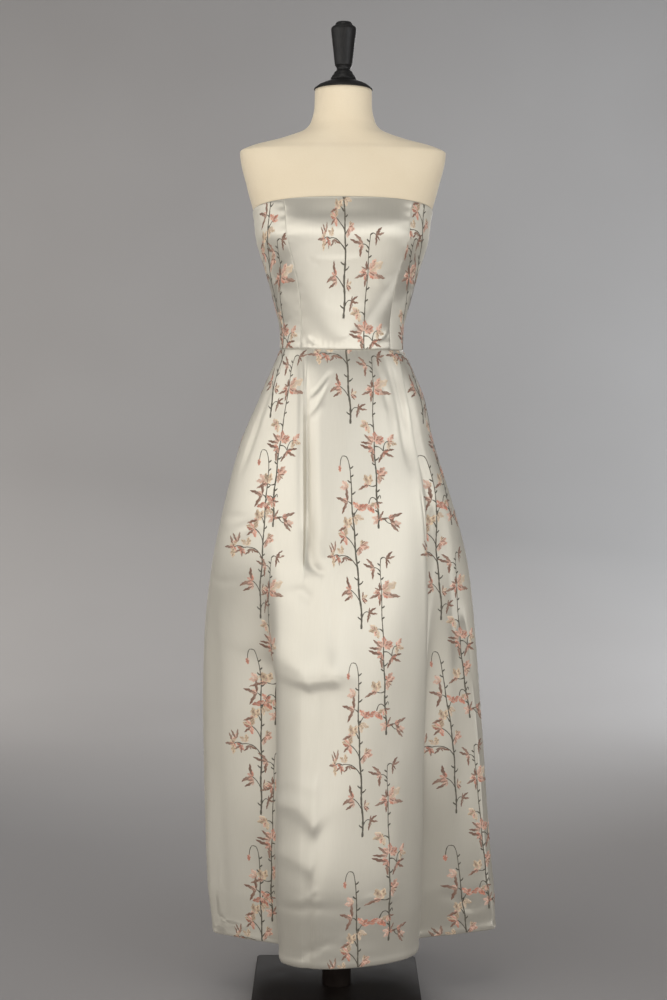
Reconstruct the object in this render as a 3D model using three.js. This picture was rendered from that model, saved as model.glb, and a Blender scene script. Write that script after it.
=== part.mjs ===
// A strapless ball gown on a limbless dress form, which stands on a pole and a square plate.
// Millimetres, +Z up. The origin is on the floor under the pole, and the gown faces -Y.
// Left and right are the wearer's, so left is +X. A bearing is in degrees round the pole,
// from 0 at the front, through 90 at the left side and 180 at the back.

import * as THREE from 'three';

// Gown
const WALL = 2;
const SEAM_GAP = 0.3;
const EASE = 0.5;
const GOWN_TURN = 5;
const WAIST_HEIGHT = 1187.5;
const WAIST_DIP = 3;
const EDGE_HEIGHT = 1439.5;
const EDGE_RISE = 17.5;
const HIP_HEIGHT = 945;
const THIGH_HEIGHT = 784;
const KNEE_HEIGHT = 573;
const HEM_HEIGHT = 105;
const SIDE_SEAM = 90 + GOWN_TURN;
const BACK_SEAM = 180 + GOWN_TURN;
const PRINCESS_SEAM = { waist: 46, middle: 39, edge: 39 };

// Lap over the zip at the centre back
const LAP_OVER = 14;
const LAP_UNDER = 4;
const LAP_WALL = 1.2;
const LAP_FOOT_HEIGHT = 1000;

// Form and stand
const FORM_FOOT_HEIGHT = 930;
const SHOULDER_HEIGHT = 1552;
const NECK_HEIGHT = 1670;
const POLE_RADIUS = 26.5;
const PLATE_SIDE = 308;
const PLATE_THICK = 10;
const PLATE_CORNER = 9;
const SEAT_GAP = 0.3;

// How finely the surfaces are divided
const BODICE_ROWS = 10;
const SKIRT_ROWS = 22;
const WAIST_CROWDING = 1.3;
const SKIRT_STEP = 5.2;
const PLEAT_COLUMNS = [-7, -3.5, 0, 3.5, 7];
const LAP_COLUMNS = 3;
const ROUND_SIDES = 28;
const CORNER_SIDES = 5;
const NORMAL_STEP = 0.05;

// Rows of a table, as objects with the names of its columns.
function table(columns, rows) {
  return rows.map((row) => Object.fromEntries(columns.map((name, k) => [name, row[k]])));
}

// Horizontal sections of the form: half its width, its reach to the front and back of the pole's
// axis, and how square the outline is, from 2 for an ellipse.
const FORM_SECTIONS = table(['height', 'half', 'front', 'back', 'square'], [
  [930, 150, 99, 111, 2.15],
  [985, 156, 106, 117, 2.15],
  [1080, 142, 105, 106, 2.12],
  [1187, 111.5, 96, 84, 2.1],
  [1216, 112, 98, 84, 2.1],
  [1280, 125.5, 107, 90, 2.2],
  [1335, 141, 120, 98, 2.35],
  [1390, 157.5, 131, 106, 2.5],
  [1430, 162.5, 124, 109, 2.5],
  [1485, 177, 103, 109, 2.5],
  [1552, 191, 74, 96, 2.6],
  [1563, 172, 67, 88, 2.4],
  [1578, 117, 60, 76, 2.2],
  [1596, 71, 54, 66, 2.05],
  [1610, 60, 51, 61, 2],
  [1640, 53.5, 50, 57, 2],
  [1670, 53, 51, 55, 2],
]);
const FORM_ROWS_BELOW = [930, 950, 985, 1020, 1060, 1100, 1140, 1168];
const CHEST_ROWS = [1465, 1492, 1520, 1540];
const SHOULDER_ROWS = [1552, 1558, 1563, 1570, 1578, 1587, 1596];
const NECK_ROWS = [1608, 1624, 1645, 1670];

// Plain outline of the skirt before its folds, with its reach to each side, the front and the back.
const SKIRT_SECTIONS = table(['height', 'right', 'left', 'front', 'back', 'square'], [
  [1187.5, 114, 114, 98.5, 86.5, 2.1],
  [1168, 120.5, 125, 106, 97, 2.1],
  [1150, 129, 133, 111, 106, 2.08],
  [1094, 152.5, 156, 122, 127, 2.05],
  [1020, 183, 172, 135, 150, 2],
  [945, 204.5, 197.5, 148, 169, 2],
  [871, 222, 221, 160, 183, 2],
  [784, 238.5, 241, 174, 198, 2],
  [648, 249.5, 256.5, 188, 214, 2],
  [499, 251, 269, 197, 226, 2],
  [300, 246, 285, 203, 237, 2],
  [105, 234, 302, 208, 246, 2],
]);

// Crests and valleys round the skirt: their bearings at the waist, thigh and hem, and the share of
// the plain outline that each reaches at the hip, thigh, knee and hem.
const FOLD_COLUMNS = ['fold', 'waistBearing', 'thighBearing', 'hemBearing', 'hip', 'thigh', 'knee', 'hem'];
const SKIRT_FOLDS = table(FOLD_COLUMNS, [
  ['front_middle', 2, 0, -8, 1, 1, 1, 1],
  ['panel_left', 26, 24, 26, 0.99, 0.97, 0.94, 0.9],
  ['panel_left_soft', 41, 40, 38, 0.99, 0.94, 0.89, 0.835],
  ['panel_left_edge', 51, 52.5, 49, 0.985, 0.905, 0.84, 0.76],
  ['left_valley', 60, 67, 74.5, 0.95, 0.76, 0.64, 0.54],
  ['left_face', 73, 80, 87, 0.975, 0.9, 0.81, 0.755],
  ['left_side', 95, 95, 97, 1, 1, 1, 1.01],
  ['left_back_valley', 118, 122, 124, 0.97, 0.92, 0.86, 0.8],
  ['left_back_crest', 146, 147, 148, 1, 1, 1, 1],
  ['centre_back', 185, 184, 182, 0.985, 0.96, 0.93, 0.9],
  ['right_back_crest', 221, 217, 213, 1, 1, 1, 0.99],
  ['right_back_valley', 248, 241, 238, 0.965, 0.91, 0.85, 0.79],
  ['right_side', 275, 272, 270, 1, 1, 1, 1],
  ['right_face', 296, 286, 280.5, 1, 0.975, 0.86, 0.775],
  ['right_valley', 309, 311, 307.6, 1, 0.94, 0.66, 0.586],
  ['panel_right_edge', 318, 326, 331, 1, 0.995, 0.96, 0.94],
  ['panel_right', 327, 339.5, 343, 1, 1, 1, 1],
]);

// Unpressed pleats: each is a groove along one of those folds, from its top to its foot.
const SKIRT_PLEATS = table(['along', 'depth', 'halfWidth', 'top', 'foot'], [
  ['panel_right', 13, 16, 1184, 770],
  ['panel_left_soft', 8, 14, 1184, 1030],
  ['left_valley', 8, 15, 1170, 800],
  ['right_face', 5, 15, 1170, 940],
  ['left_back_valley', 7, 16, 1180, 860],
  ['left_back_crest', 12, 16, 1184, 800],
  ['right_back_crest', 12, 16, 1184, 820],
  ['right_back_valley', 7, 16, 1180, 900],
]);
const PLEAT_OPENING = 220;
const PLEAT_CLOSING = 60;

// Turned profiles
const CAP_PROFILE = table(['radius', 'height'], [
  [0, 1670.3],
  [53.5, 1670.3],
  [54.7, 1671.4],
  [54, 1673],
  [48, 1678],
  [38, 1683],
  [28, 1687],
  [24.5, 1688.6],
  [0, 1688.6],
]);
const FINIAL_PROFILE = table(['radius', 'height'], [
  [0, 1688.9],
  [24, 1688.9],
  [24, 1691.5],
  [21, 1697],
  [17.6, 1701],
  [17.3, 1703.5],
  [13.6, 1706.5],
  [12.4, 1709.5],
  [13.4, 1712.5],
  [16, 1716],
  [22, 1766],
  [23.8, 1783],
  [23.2, 1786],
  [19.5, 1788.8],
  [16.5, 1791.5],
  [14.6, 1795],
  [11.5, 1797],
  [0, 1797],
]);

// Finish of each kind of piece
const satin = () => new THREE.MeshStandardMaterial({ color: 0xcfc9ba, roughness: 0.38, metalness: 0 });
const cover = () => new THREE.MeshStandardMaterial({ color: 0xe2d4bb, roughness: 0.85, metalness: 0 });
const blackWood = () => new THREE.MeshStandardMaterial({ color: 0x0d0d0d, roughness: 0.3, metalness: 0 });
const darkMetal = () => new THREE.MeshStandardMaterial({ color: 0x2c2320, roughness: 0.45, metalness: 0.6 });

const { clamp, smoothstep, degToRad: radians } = THREE.MathUtils;
const dress = new THREE.Group();

function addPiece(name, geometry, material) {
  geometry.computeVertexNormals();
  const mesh = new THREE.Mesh(geometry, material);
  mesh.name = name;
  dress.add(mesh);
  return mesh;
}

// Evenly spaced values from start to end, both included.
function spread(start, end, steps) {
  return Array.from({ length: steps + 1 }, (_, k) => start + ((end - start) * k) / steps);
}

// A curve through points that never overshoots them: cubic, with its slopes kept monotone.
function smoothCurve(xs, ys) {
  const last = xs.length - 1;
  const rise = xs.slice(1).map((x, k) => (ys[k + 1] - ys[k]) / (x - xs[k]));
  const slope = xs.map((x, k) => {
    if (k === 0) return rise[0];
    if (k === last) return rise[last - 1];
    const product = rise[k - 1] * rise[k];
    return product <= 0 ? 0 : (2 * product) / (rise[k - 1] + rise[k]);
  });
  return (x) => {
    const at = clamp(x, xs[0], xs[last]);
    let k = 0;
    while (k < last - 1 && at > xs[k + 1]) k++;
    const span = xs[k + 1] - xs[k];
    const s = (at - xs[k]) / span;
    const start = ys[k] * (1 + 2 * s) * (1 - s) ** 2 + slope[k] * span * s * (1 - s) ** 2;
    const end = ys[k + 1] * s ** 2 * (3 - 2 * s) + slope[k + 1] * span * s ** 2 * (s - 1);
    return start + end;
  };
}

// One smooth curve over height for each column of a table of sections.
function sectionCurves(sections) {
  const rows = [...sections].sort((a, b) => a.height - b.height);
  const heights = rows.map((row) => row.height);
  const columns = Object.keys(rows[0]).filter((name) => name !== 'height');
  const curves = columns.map((name) => [name, smoothCurve(heights, rows.map((row) => row[name]))]);
  return (height) => Object.fromEntries(curves.map(([name, curve]) => [name, curve(height)]));
}

// The upper edge rises and the waist seam dips towards the centre front, and the rows between follow.
const tilt = smoothCurve(
  [HEM_HEIGHT, FORM_FOOT_HEIGHT, WAIST_HEIGHT, EDGE_HEIGHT, SHOULDER_HEIGHT, NECK_HEIGHT],
  [0, 0, -WAIST_DIP, EDGE_RISE, 0, 0],
);
const tilted = (height, bearing) => height + tilt(height) * Math.cos(radians(bearing - GOWN_TURN));

// A closed wall between two grids of points, with rows upwards and columns towards the left.
function closedWall(outside, inside) {
  const rows = outside.length;
  const columns = outside[0].length;
  const end = columns - 1;
  const top = rows - 1;
  const index = [];
  const at = (side, j, i) => (side * rows + j) * columns + i;
  const quad = (a, b, c, d) => index.push(a, b, c, a, c, d);
  for (let j = 0; j < top; j++) {
    for (let i = 0; i < end; i++) {
      quad(at(0, j, i), at(0, j, i + 1), at(0, j + 1, i + 1), at(0, j + 1, i));
      quad(at(1, j, i), at(1, j + 1, i), at(1, j + 1, i + 1), at(1, j, i + 1));
    }
    quad(at(0, j, 0), at(0, j + 1, 0), at(1, j + 1, 0), at(1, j, 0));
    quad(at(0, j, end), at(1, j, end), at(1, j + 1, end), at(0, j + 1, end));
  }
  for (let i = 0; i < end; i++) {
    quad(at(0, 0, i), at(1, 0, i), at(1, 0, i + 1), at(0, 0, i + 1));
    quad(at(0, top, i), at(0, top, i + 1), at(1, top, i + 1), at(1, top, i));
  }
  const geometry = new THREE.BufferGeometry();
  geometry.setFromPoints([...outside, ...inside].flat());
  geometry.setIndex(index);
  return geometry;
}

// A piece of cloth on a surface, whose points move out to the wall's inside and outside. The
// columns of each row come from a function of its height.
function clothWall(surface, columnsAt, heights, inner, outer) {
  const grid = (out) => heights.map((height) => columnsAt(height).map((u) => surface(u, height, out)));
  return closedWall(grid(outer), grid(inner));
}

// Moves the two ends of a row of columns half a seam's gap inwards.
function seamGap(columns, surface, height) {
  const inset = (from, to) => {
    const length = surface(from, height, 0).distanceTo(surface(to, height, 0));
    return from + ((to - from) * SEAM_GAP) / 2 / length;
  };
  const end = columns.length - 1;
  const first = inset(columns[0], columns[1]);
  const final = inset(columns[end], columns[end - 1]);
  return [first, ...columns.slice(1, end), final];
}

// A point of a plan outline, moved out along the outline's normal.
function movedOut(plan, u, height, out) {
  const along = plan(u + NORMAL_STEP, height).sub(plan(u - NORMAL_STEP, height)).normalize();
  return plan(u, height).add(new THREE.Vector2(along.y, -along.x).multiplyScalar(out));
}

// Form's surface: a rounded oblong at each height, with a bearing as its parameter
const formSection = sectionCurves(FORM_SECTIONS);

function formPlan(bearing, height) {
  const { half, front, back, square } = formSection(height);
  const sine = Math.sin(radians(bearing));
  const cosine = Math.cos(radians(bearing));
  const x = half * Math.sign(sine) * Math.abs(sine) ** (2 / square);
  const y = (cosine > 0 ? -front : back) * Math.abs(cosine) ** (2 / square);
  return new THREE.Vector2(x, y);
}

function formSurface(bearing, height, out) {
  const level = tilted(height, bearing);
  const { x, y } = movedOut(formPlan, bearing, level, out);
  return new THREE.Vector3(x, y, level);
}

// Bodice: five panels on the form
const princess = smoothCurve(
  [WAIST_HEIGHT, (WAIST_HEIGHT + EDGE_HEIGHT) / 2, EDGE_HEIGHT],
  [PRINCESS_SEAM.waist, PRINCESS_SEAM.middle, PRINCESS_SEAM.edge],
);
const leftPrincess = (height) => GOWN_TURN + princess(height);
const rightPrincess = (height) => GOWN_TURN - princess(height);
const leftSide = () => SIDE_SEAM;
const centreBack = () => BACK_SEAM;
const rightSide = () => SIDE_SEAM + 180;
const BODICE_PANELS = table(['name', 'from', 'to', 'columns'], [
  ['bodice_centre_front', rightPrincess, leftPrincess, 10],
  ['bodice_side_front_left', leftPrincess, leftSide, 6],
  ['bodice_back_left', leftSide, centreBack, 9],
  ['bodice_back_right', centreBack, rightSide, 9],
  ['bodice_side_front_right', rightSide, (height) => 360 + rightPrincess(height), 6],
]);
const panelColumns = (panel, height) => spread(panel.from(height), panel.to(height), panel.columns);
const bodiceHeights = spread(WAIST_HEIGHT, EDGE_HEIGHT, BODICE_ROWS);
const sewnBodiceHeights = [WAIST_HEIGHT + SEAM_GAP / 2, ...bodiceHeights.slice(1)];

for (const panel of BODICE_PANELS) {
  const columnsAt = (height) => seamGap(panelColumns(panel, height), formSurface, height);
  const wall = clothWall(formSurface, columnsAt, sewnBodiceHeights, EASE, EASE + WALL);
  addPiece(panel.name, wall, satin());
}

// Skirt's surface: the plain outline with its folds and its pleats
const skirtSection = sectionCurves(SKIRT_SECTIONS);
const bearingLevels = [HEM_HEIGHT, THIGH_HEIGHT, WAIST_HEIGHT];
const reachLevels = [HEM_HEIGHT, KNEE_HEIGHT, THIGH_HEIGHT, HIP_HEIGHT, WAIST_HEIGHT];
const foldCurves = SKIRT_FOLDS.map((row) => ({
  waist: row.waistBearing,
  bearing: smoothCurve(bearingLevels, [row.hemBearing, row.thighBearing, row.waistBearing]),
  reach: smoothCurve(reachLevels, [row.hem, row.knee, row.thigh, row.hip, 1]),
}));

// The folds at one height, as curves over the bearing at the waist, carried two folds past each end.
const rings = new Map();
function ringAt(height) {
  if (!rings.has(height)) {
    const around = foldCurves.map((fold) => [fold.waist, fold.bearing(height), fold.reach(height)]);
    const before = around.slice(-2).map(([waist, bearing, reach]) => [waist - 360, bearing - 360, reach]);
    const after = around.slice(0, 2).map(([waist, bearing, reach]) => [waist + 360, bearing + 360, reach]);
    const all = [...before, ...around, ...after];
    const waists = all.map((fold) => fold[0]);
    const bearing = smoothCurve(waists, all.map((fold) => fold[1]));
    const reach = smoothCurve(waists, all.map((fold) => fold[2]));
    rings.set(height, { bearing, reach });
  }
  return rings.get(height);
}

function plainRadius(bearing, height) {
  const { right, left, front, back, square } = skirtSection(height);
  const sine = Math.sin(radians(bearing));
  const cosine = Math.cos(radians(bearing));
  const across = Math.abs(sine) / (sine > 0 ? left : right);
  const deep = Math.abs(cosine) / (cosine > 0 ? front : back);
  return (across ** square + deep ** square) ** (-1 / square);
}

const waistBearingOf = (name) => SKIRT_FOLDS.find((row) => row.fold === name).waistBearing;

// A pleat opens slowly below the waist, where the form is close, and closes quickly at its foot.
function pleatDepth(bearing, radius, height) {
  let depth = 0;
  for (const pleat of SKIRT_PLEATS) {
    const centre = ringAt(height).bearing(waistBearingOf(pleat.along));
    const share = (radians(bearing - centre) * radius) / pleat.halfWidth;
    if (Math.abs(share) < 1) {
      const opening = smoothstep(pleat.top - height, 0, PLEAT_OPENING);
      const closing = smoothstep(height - pleat.foot, 0, PLEAT_CLOSING);
      depth += (pleat.depth * opening * closing * (1 + Math.cos(Math.PI * share))) / 2;
    }
  }
  return depth;
}

function skirtPlan(waistBearing, height) {
  const around = THREE.MathUtils.euclideanModulo(waistBearing, 360);
  const ring = ringAt(height);
  const bearing = ring.bearing(around);
  const folded = plainRadius(bearing, height) * ring.reach(around);
  const radius = folded - pleatDepth(bearing, folded, height);
  return new THREE.Vector2(Math.sin(radians(bearing)), -Math.cos(radians(bearing))).multiplyScalar(radius);
}

function skirtSurface(waistBearing, height, out) {
  const { x, y } = movedOut(skirtPlan, waistBearing, height, out);
  return new THREE.Vector3(x, y, tilted(height, waistBearing));
}

// Columns at even steps between two seams, and closer together across each pleat.
function skirtColumns(from, to) {
  const pleats = SKIRT_PLEATS.map((pleat) => waistBearingOf(pleat.along));
  const inside = pleats.flatMap((u) => [u - 360, u]).filter((u) => u > from && u < to);
  const close = inside.flatMap((u) => PLEAT_COLUMNS.map((step) => u + step));
  const even = spread(from, to, Math.round((to - from) / SKIRT_STEP)).slice(1, -1);
  const apart = even.filter((u) => close.every((v) => Math.abs(u - v) > SKIRT_STEP / 2));
  return [from, ...[...apart, ...close].sort((a, b) => a - b), to];
}

// Skirt: a front and two backs, with rows closer together near the waist
const SKIRT_PANELS = table(['name', 'from', 'to'], [
  ['skirt_front', SIDE_SEAM - 180, SIDE_SEAM],
  ['skirt_back_left', SIDE_SEAM, BACK_SEAM],
  ['skirt_back_right', BACK_SEAM, SIDE_SEAM + 180],
]);
const skirtTop = WAIST_HEIGHT - SEAM_GAP / 2;
const skirtHeights = spread(1, 0, SKIRT_ROWS)
  .map((share) => skirtTop - (skirtTop - HEM_HEIGHT) * share ** WAIST_CROWDING);

for (const panel of SKIRT_PANELS) {
  const columns = skirtColumns(panel.from, panel.to);
  const columnsAt = (height) => seamGap(columns, skirtSurface, height);
  addPiece(panel.name, clothWall(skirtSurface, columnsAt, skirtHeights, -WALL, 0), satin());
}

// Zip's lap: it lies over the centre back seam, a seam's gap off the panels under it
function addLap(name, surface, heights, panelOutside) {
  const columnsAt = (height) => {
    const degree = surface(BACK_SEAM + 1, height, 0).distanceTo(surface(BACK_SEAM, height, 0));
    return spread(BACK_SEAM - LAP_UNDER / degree, BACK_SEAM + LAP_OVER / degree, LAP_COLUMNS);
  };
  const inner = panelOutside + SEAM_GAP;
  addPiece(name, clothWall(surface, columnsAt, heights, inner, inner + LAP_WALL), satin());
}
addLap('zip_lap_bodice', formSurface, sewnBodiceHeights, EASE + WALL);
addLap('zip_lap_skirt', skirtSurface, skirtHeights.filter((height) => height > LAP_FOOT_HEIGHT), 0);

// Form: rings that share the bodice's rows and columns, closed flat at the neck and at the foot
function formGeometry() {
  const heights = [...FORM_ROWS_BELOW, ...bodiceHeights, ...CHEST_ROWS, ...SHOULDER_ROWS, ...NECK_ROWS];
  const ring = (height) => BODICE_PANELS.flatMap((panel) => panelColumns(panel, height).slice(0, -1));
  const points = heights.flatMap((height) => ring(height).map((u) => formSurface(u, height, 0)));
  const columns = ring(WAIST_HEIGHT).length;
  const top = heights.length - 1;
  const index = [];
  const at = (j, i) => j * columns + (i % columns);
  for (let j = 0; j < top; j++) {
    for (let i = 0; i < columns; i++) {
      index.push(at(j, i), at(j, i + 1), at(j + 1, i + 1));
      index.push(at(j, i), at(j + 1, i + 1), at(j + 1, i));
    }
  }
  const foot = points.push(new THREE.Vector3(0, 0, FORM_FOOT_HEIGHT)) - 1;
  const neck = points.push(new THREE.Vector3(0, 0, NECK_HEIGHT)) - 1;
  for (let i = 0; i < columns; i++) {
    index.push(foot, at(0, i + 1), at(0, i));
    index.push(neck, at(top, i), at(top, i + 1));
  }
  const geometry = new THREE.BufferGeometry();
  geometry.setFromPoints(points);
  geometry.setIndex(index);
  return geometry;
}
addPiece('form_torso', formGeometry(), cover());

// Cap and finial, turned about the pole's axis
function turned(profile) {
  const points = profile.map(({ radius, height }) => new THREE.Vector2(radius, height));
  return new THREE.LatheGeometry(points, ROUND_SIDES).rotateX(Math.PI / 2);
}
addPiece('form_neck_cap', turned(CAP_PROFILE), blackWood());
addPiece('form_finial', turned(FINIAL_PROFILE), blackWood());

// Pole, seated between the plate and the form
const poleFoot = PLATE_THICK + SEAT_GAP;
const poleTop = FORM_FOOT_HEIGHT - SEAT_GAP;
const pole = new THREE.CylinderGeometry(POLE_RADIUS, POLE_RADIUS, poleTop - poleFoot, ROUND_SIDES);
const polePiece = addPiece('stand_pole', pole, darkMetal());
polePiece.rotation.x = Math.PI / 2;
polePiece.position.z = (poleTop + poleFoot) / 2;

// Plate: a square with rounded corners
function plateGeometry() {
  const reach = PLATE_SIDE / 2 - PLATE_CORNER;
  const outline = new THREE.Shape();
  for (const start of [0, 90, 180, 270]) {
    const corner = radians(start + 45);
    const x = reach * Math.sign(Math.cos(corner));
    const y = reach * Math.sign(Math.sin(corner));
    outline.absarc(x, y, PLATE_CORNER, radians(start), radians(start + 90), false);
  }
  const settings = { depth: PLATE_THICK, bevelEnabled: false, curveSegments: CORNER_SIDES };
  return new THREE.ExtrudeGeometry(outline, settings);
}
addPiece('stand_base', plateGeometry(), darkMetal());

export default dress;
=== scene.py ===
"""A strapless satin ball gown on a limbless dress form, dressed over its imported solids.

Lengths in the tables are millimetres and bearings are degrees round the pole: 0 at the front, 90 at
the wearer's left (+X) and 180 at the back. Meshes are made in metres.
"""

import math

import bpy
import numpy as np
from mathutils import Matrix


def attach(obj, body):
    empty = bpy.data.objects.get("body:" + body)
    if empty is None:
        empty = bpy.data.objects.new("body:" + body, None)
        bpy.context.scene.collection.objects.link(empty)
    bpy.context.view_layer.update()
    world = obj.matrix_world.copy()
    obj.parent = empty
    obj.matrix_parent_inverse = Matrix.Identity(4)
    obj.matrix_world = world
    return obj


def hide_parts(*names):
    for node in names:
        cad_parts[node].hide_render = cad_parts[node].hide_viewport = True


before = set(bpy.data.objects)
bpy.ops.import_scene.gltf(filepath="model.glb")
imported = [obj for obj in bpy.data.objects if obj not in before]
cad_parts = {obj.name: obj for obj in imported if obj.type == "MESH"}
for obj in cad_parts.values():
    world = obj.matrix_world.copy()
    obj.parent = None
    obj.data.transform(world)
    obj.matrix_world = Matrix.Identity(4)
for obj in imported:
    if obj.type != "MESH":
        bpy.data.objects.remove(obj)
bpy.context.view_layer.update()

# Sizes of the gown
METRE = 0.001
EASE = 0.5
WALL = 2.0
CLOTH = 1.4
SEAM_GAP = 0.3
TURN = 5.0
WAIST, EDGE, HEM = 1187.5, 1439.5, 105.0
WAIST_DIP, EDGE_RISE = 3.0, 17.5
HIP, THIGH, KNEE = 945.0, 784.0, 573.0
FORM_FOOT, SHOULDER, NECK = 930.0, 1552.0, 1670.0
SIDE_SEAM, BACK_SEAM = 90 + TURN, 180 + TURN
PRINCESS_WAIST, PRINCESS_BUST = 46.0, 39.0
LAP_OVER, LAP_UNDER, LAP_WALL, LAP_FOOT = 14.0, 4.0, 1.2, 1000.0

# Form: height, half width, reach to the front and back, squareness of the outline
FORM_SECTIONS = np.array([
    (930, 150, 99, 111, 2.15), (985, 156, 106, 117, 2.15), (1080, 142, 105, 106, 2.12),
    (1187, 111.5, 96, 84, 2.1), (1216, 112, 98, 84, 2.1), (1280, 125.5, 107, 90, 2.2),
    (1335, 141, 120, 98, 2.35), (1390, 157.5, 131, 106, 2.5), (1430, 162.5, 124, 109, 2.5),
    (1485, 177, 103, 109, 2.5), (1552, 191, 74, 96, 2.6), (1563, 172, 67, 88, 2.4),
    (1578, 117, 60, 76, 2.2), (1596, 71, 54, 66, 2.05), (1610, 60, 51, 61, 2),
    (1640, 53.5, 50, 57, 2), (1670, 53, 51, 55, 2),
])

# Skirt before its folds: height, reach to the right, left, front and back, squareness
SKIRT_SECTIONS = np.array([
    (105, 234, 302, 208, 246, 2), (300, 246, 285, 203, 237, 2), (499, 251, 269, 197, 226, 2),
    (648, 249.5, 256.5, 188, 214, 2), (784, 238.5, 241, 174, 198, 2), (871, 222, 221, 160, 183, 2),
    (945, 204.5, 197.5, 148, 169, 2), (1020, 183, 172, 135, 150, 2), (1094, 152.5, 156, 122, 127, 2.05),
    (1150, 129, 133, 111, 106, 2.08), (1168, 120.5, 125, 106, 97, 2.1), (1187.5, 114, 114, 98.5, 86.5, 2.1),
])

# Folds: bearing at the waist, thigh and hem, then share of the outline at the hip, thigh, knee and hem
SKIRT_FOLDS = {
    "front_middle": (2, 0, -8, 1, 1, 1, 1),
    "panel_left": (26, 24, 26, 0.99, 0.97, 0.94, 0.9),
    "panel_left_soft": (41, 40, 38, 0.99, 0.94, 0.89, 0.835),
    "panel_left_edge": (51, 52.5, 49, 0.985, 0.905, 0.84, 0.76),
    "left_valley": (60, 67, 74.5, 0.95, 0.76, 0.64, 0.54),
    "left_face": (73, 80, 87, 0.975, 0.9, 0.81, 0.755),
    "left_side": (95, 95, 97, 1, 1, 1, 1.01),
    "left_back_valley": (118, 122, 124, 0.97, 0.92, 0.86, 0.8),
    "left_back_crest": (146, 147, 148, 1, 1, 1, 1),
    "centre_back": (185, 184, 182, 0.985, 0.96, 0.93, 0.9),
    "right_back_crest": (221, 217, 213, 1, 1, 1, 0.99),
    "right_back_valley": (248, 241, 238, 0.965, 0.91, 0.85, 0.79),
    "right_side": (275, 272, 270, 1, 1, 1, 1),
    "right_face": (296, 286, 280.5, 1, 0.985, 0.9, 0.84),
    "right_valley": (309, 311, 307.6, 1, 0.94, 0.66, 0.586),
    "panel_right_edge": (318, 326, 331, 1, 0.995, 0.96, 0.94),
    "panel_right": (327, 339.5, 343, 1, 1, 1, 1),
}

# Pleats along folds: depth, half width towards the wearer's right and left, top and foot
SKIRT_PLEATS = {
    "panel_right": (10, 3.2, 30, 1184, 770),
    "panel_left_soft": (8, 14, 14, 1184, 1030),
    "left_valley": (8, 15, 15, 1170, 800),
    "right_face": (5, 15, 15, 1170, 940),
    "left_back_valley": (7, 16, 16, 1180, 860),
    "left_back_crest": (10, 30, 3.2, 1184, 800),
    "right_back_crest": (10, 3.2, 30, 1184, 820),
    "right_back_valley": (7, 16, 16, 1180, 900),
}
PLEAT_OPENING, PLEAT_CLOSING = 220.0, 80.0


# Curves and surfaces
def smooth(xs, ys, x):
    """A cubic through points that never overshoots them: each slope is the harmonic mean of its two
    neighbours, and zero at a turning point. Leading axes of ys match those of x."""
    xs, ys = np.asarray(xs, float), np.asarray(ys, float)
    rise = np.diff(ys) / np.diff(xs)
    product, total = rise[..., :-1] * rise[..., 1:], rise[..., :-1] + rise[..., 1:]
    bend = np.where(product > 0, 2 * product / np.where(product > 0, total, 1), 0)
    slope = np.concatenate([rise[..., :1], bend, rise[..., -1:]], -1)
    x = np.clip(np.asarray(x, float), xs[0], xs[-1])
    k = np.clip(np.searchsorted(xs, x) - 1, 0, len(xs) - 2)
    span = xs[k + 1] - xs[k]
    s = (x - xs[k]) / span

    def at(values, index):
        if values.ndim == 1:
            return values[index]
        return np.take_along_axis(values, index[..., None], -1)[..., 0]

    first = at(ys, k) * (1 + 2 * s) * (1 - s) ** 2 + at(slope, k) * span * s * (1 - s) ** 2
    return first + at(ys, k + 1) * s**2 * (3 - 2 * s) + at(slope, k + 1) * span * s**2 * (s - 1)


def ramp(x, low, high):
    """0 below low, 1 above high, and a smooth S between them."""
    t = np.clip((x - low) / (high - low), 0, 1)
    return t * t * (3 - 2 * t)


def bell(x, half):
    """A bell curve: 1 at zero, and 1/e at half a width to either side."""
    return np.exp(-((x / half) ** 2))


def tilted(height, bearing):
    """The upper edge rises and the waist dips towards the centre front, as a cosine of the bearing."""
    levels = (HEM, FORM_FOOT, WAIST, EDGE, SHOULDER, NECK)
    tilt = smooth(levels, (0, 0, -WAIST_DIP, EDGE_RISE, 0, 0), height)
    return height + tilt * np.cos(np.radians(bearing - TURN))


def form_plan(bearing, height):
    """A rounded oblong: sine and cosine of the bearing, each to a power, times the section's reach."""
    half, front, back, square = (smooth(FORM_SECTIONS[:, 0], c, height) for c in FORM_SECTIONS[:, 1:].T)
    sine, cosine = np.sin(np.radians(bearing)), np.cos(np.radians(bearing))
    x = half * np.sign(sine) * np.abs(sine) ** (2 / square)
    y = np.where(cosine > 0, -front, back) * np.abs(cosine) ** (2 / square)
    return x, y


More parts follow.
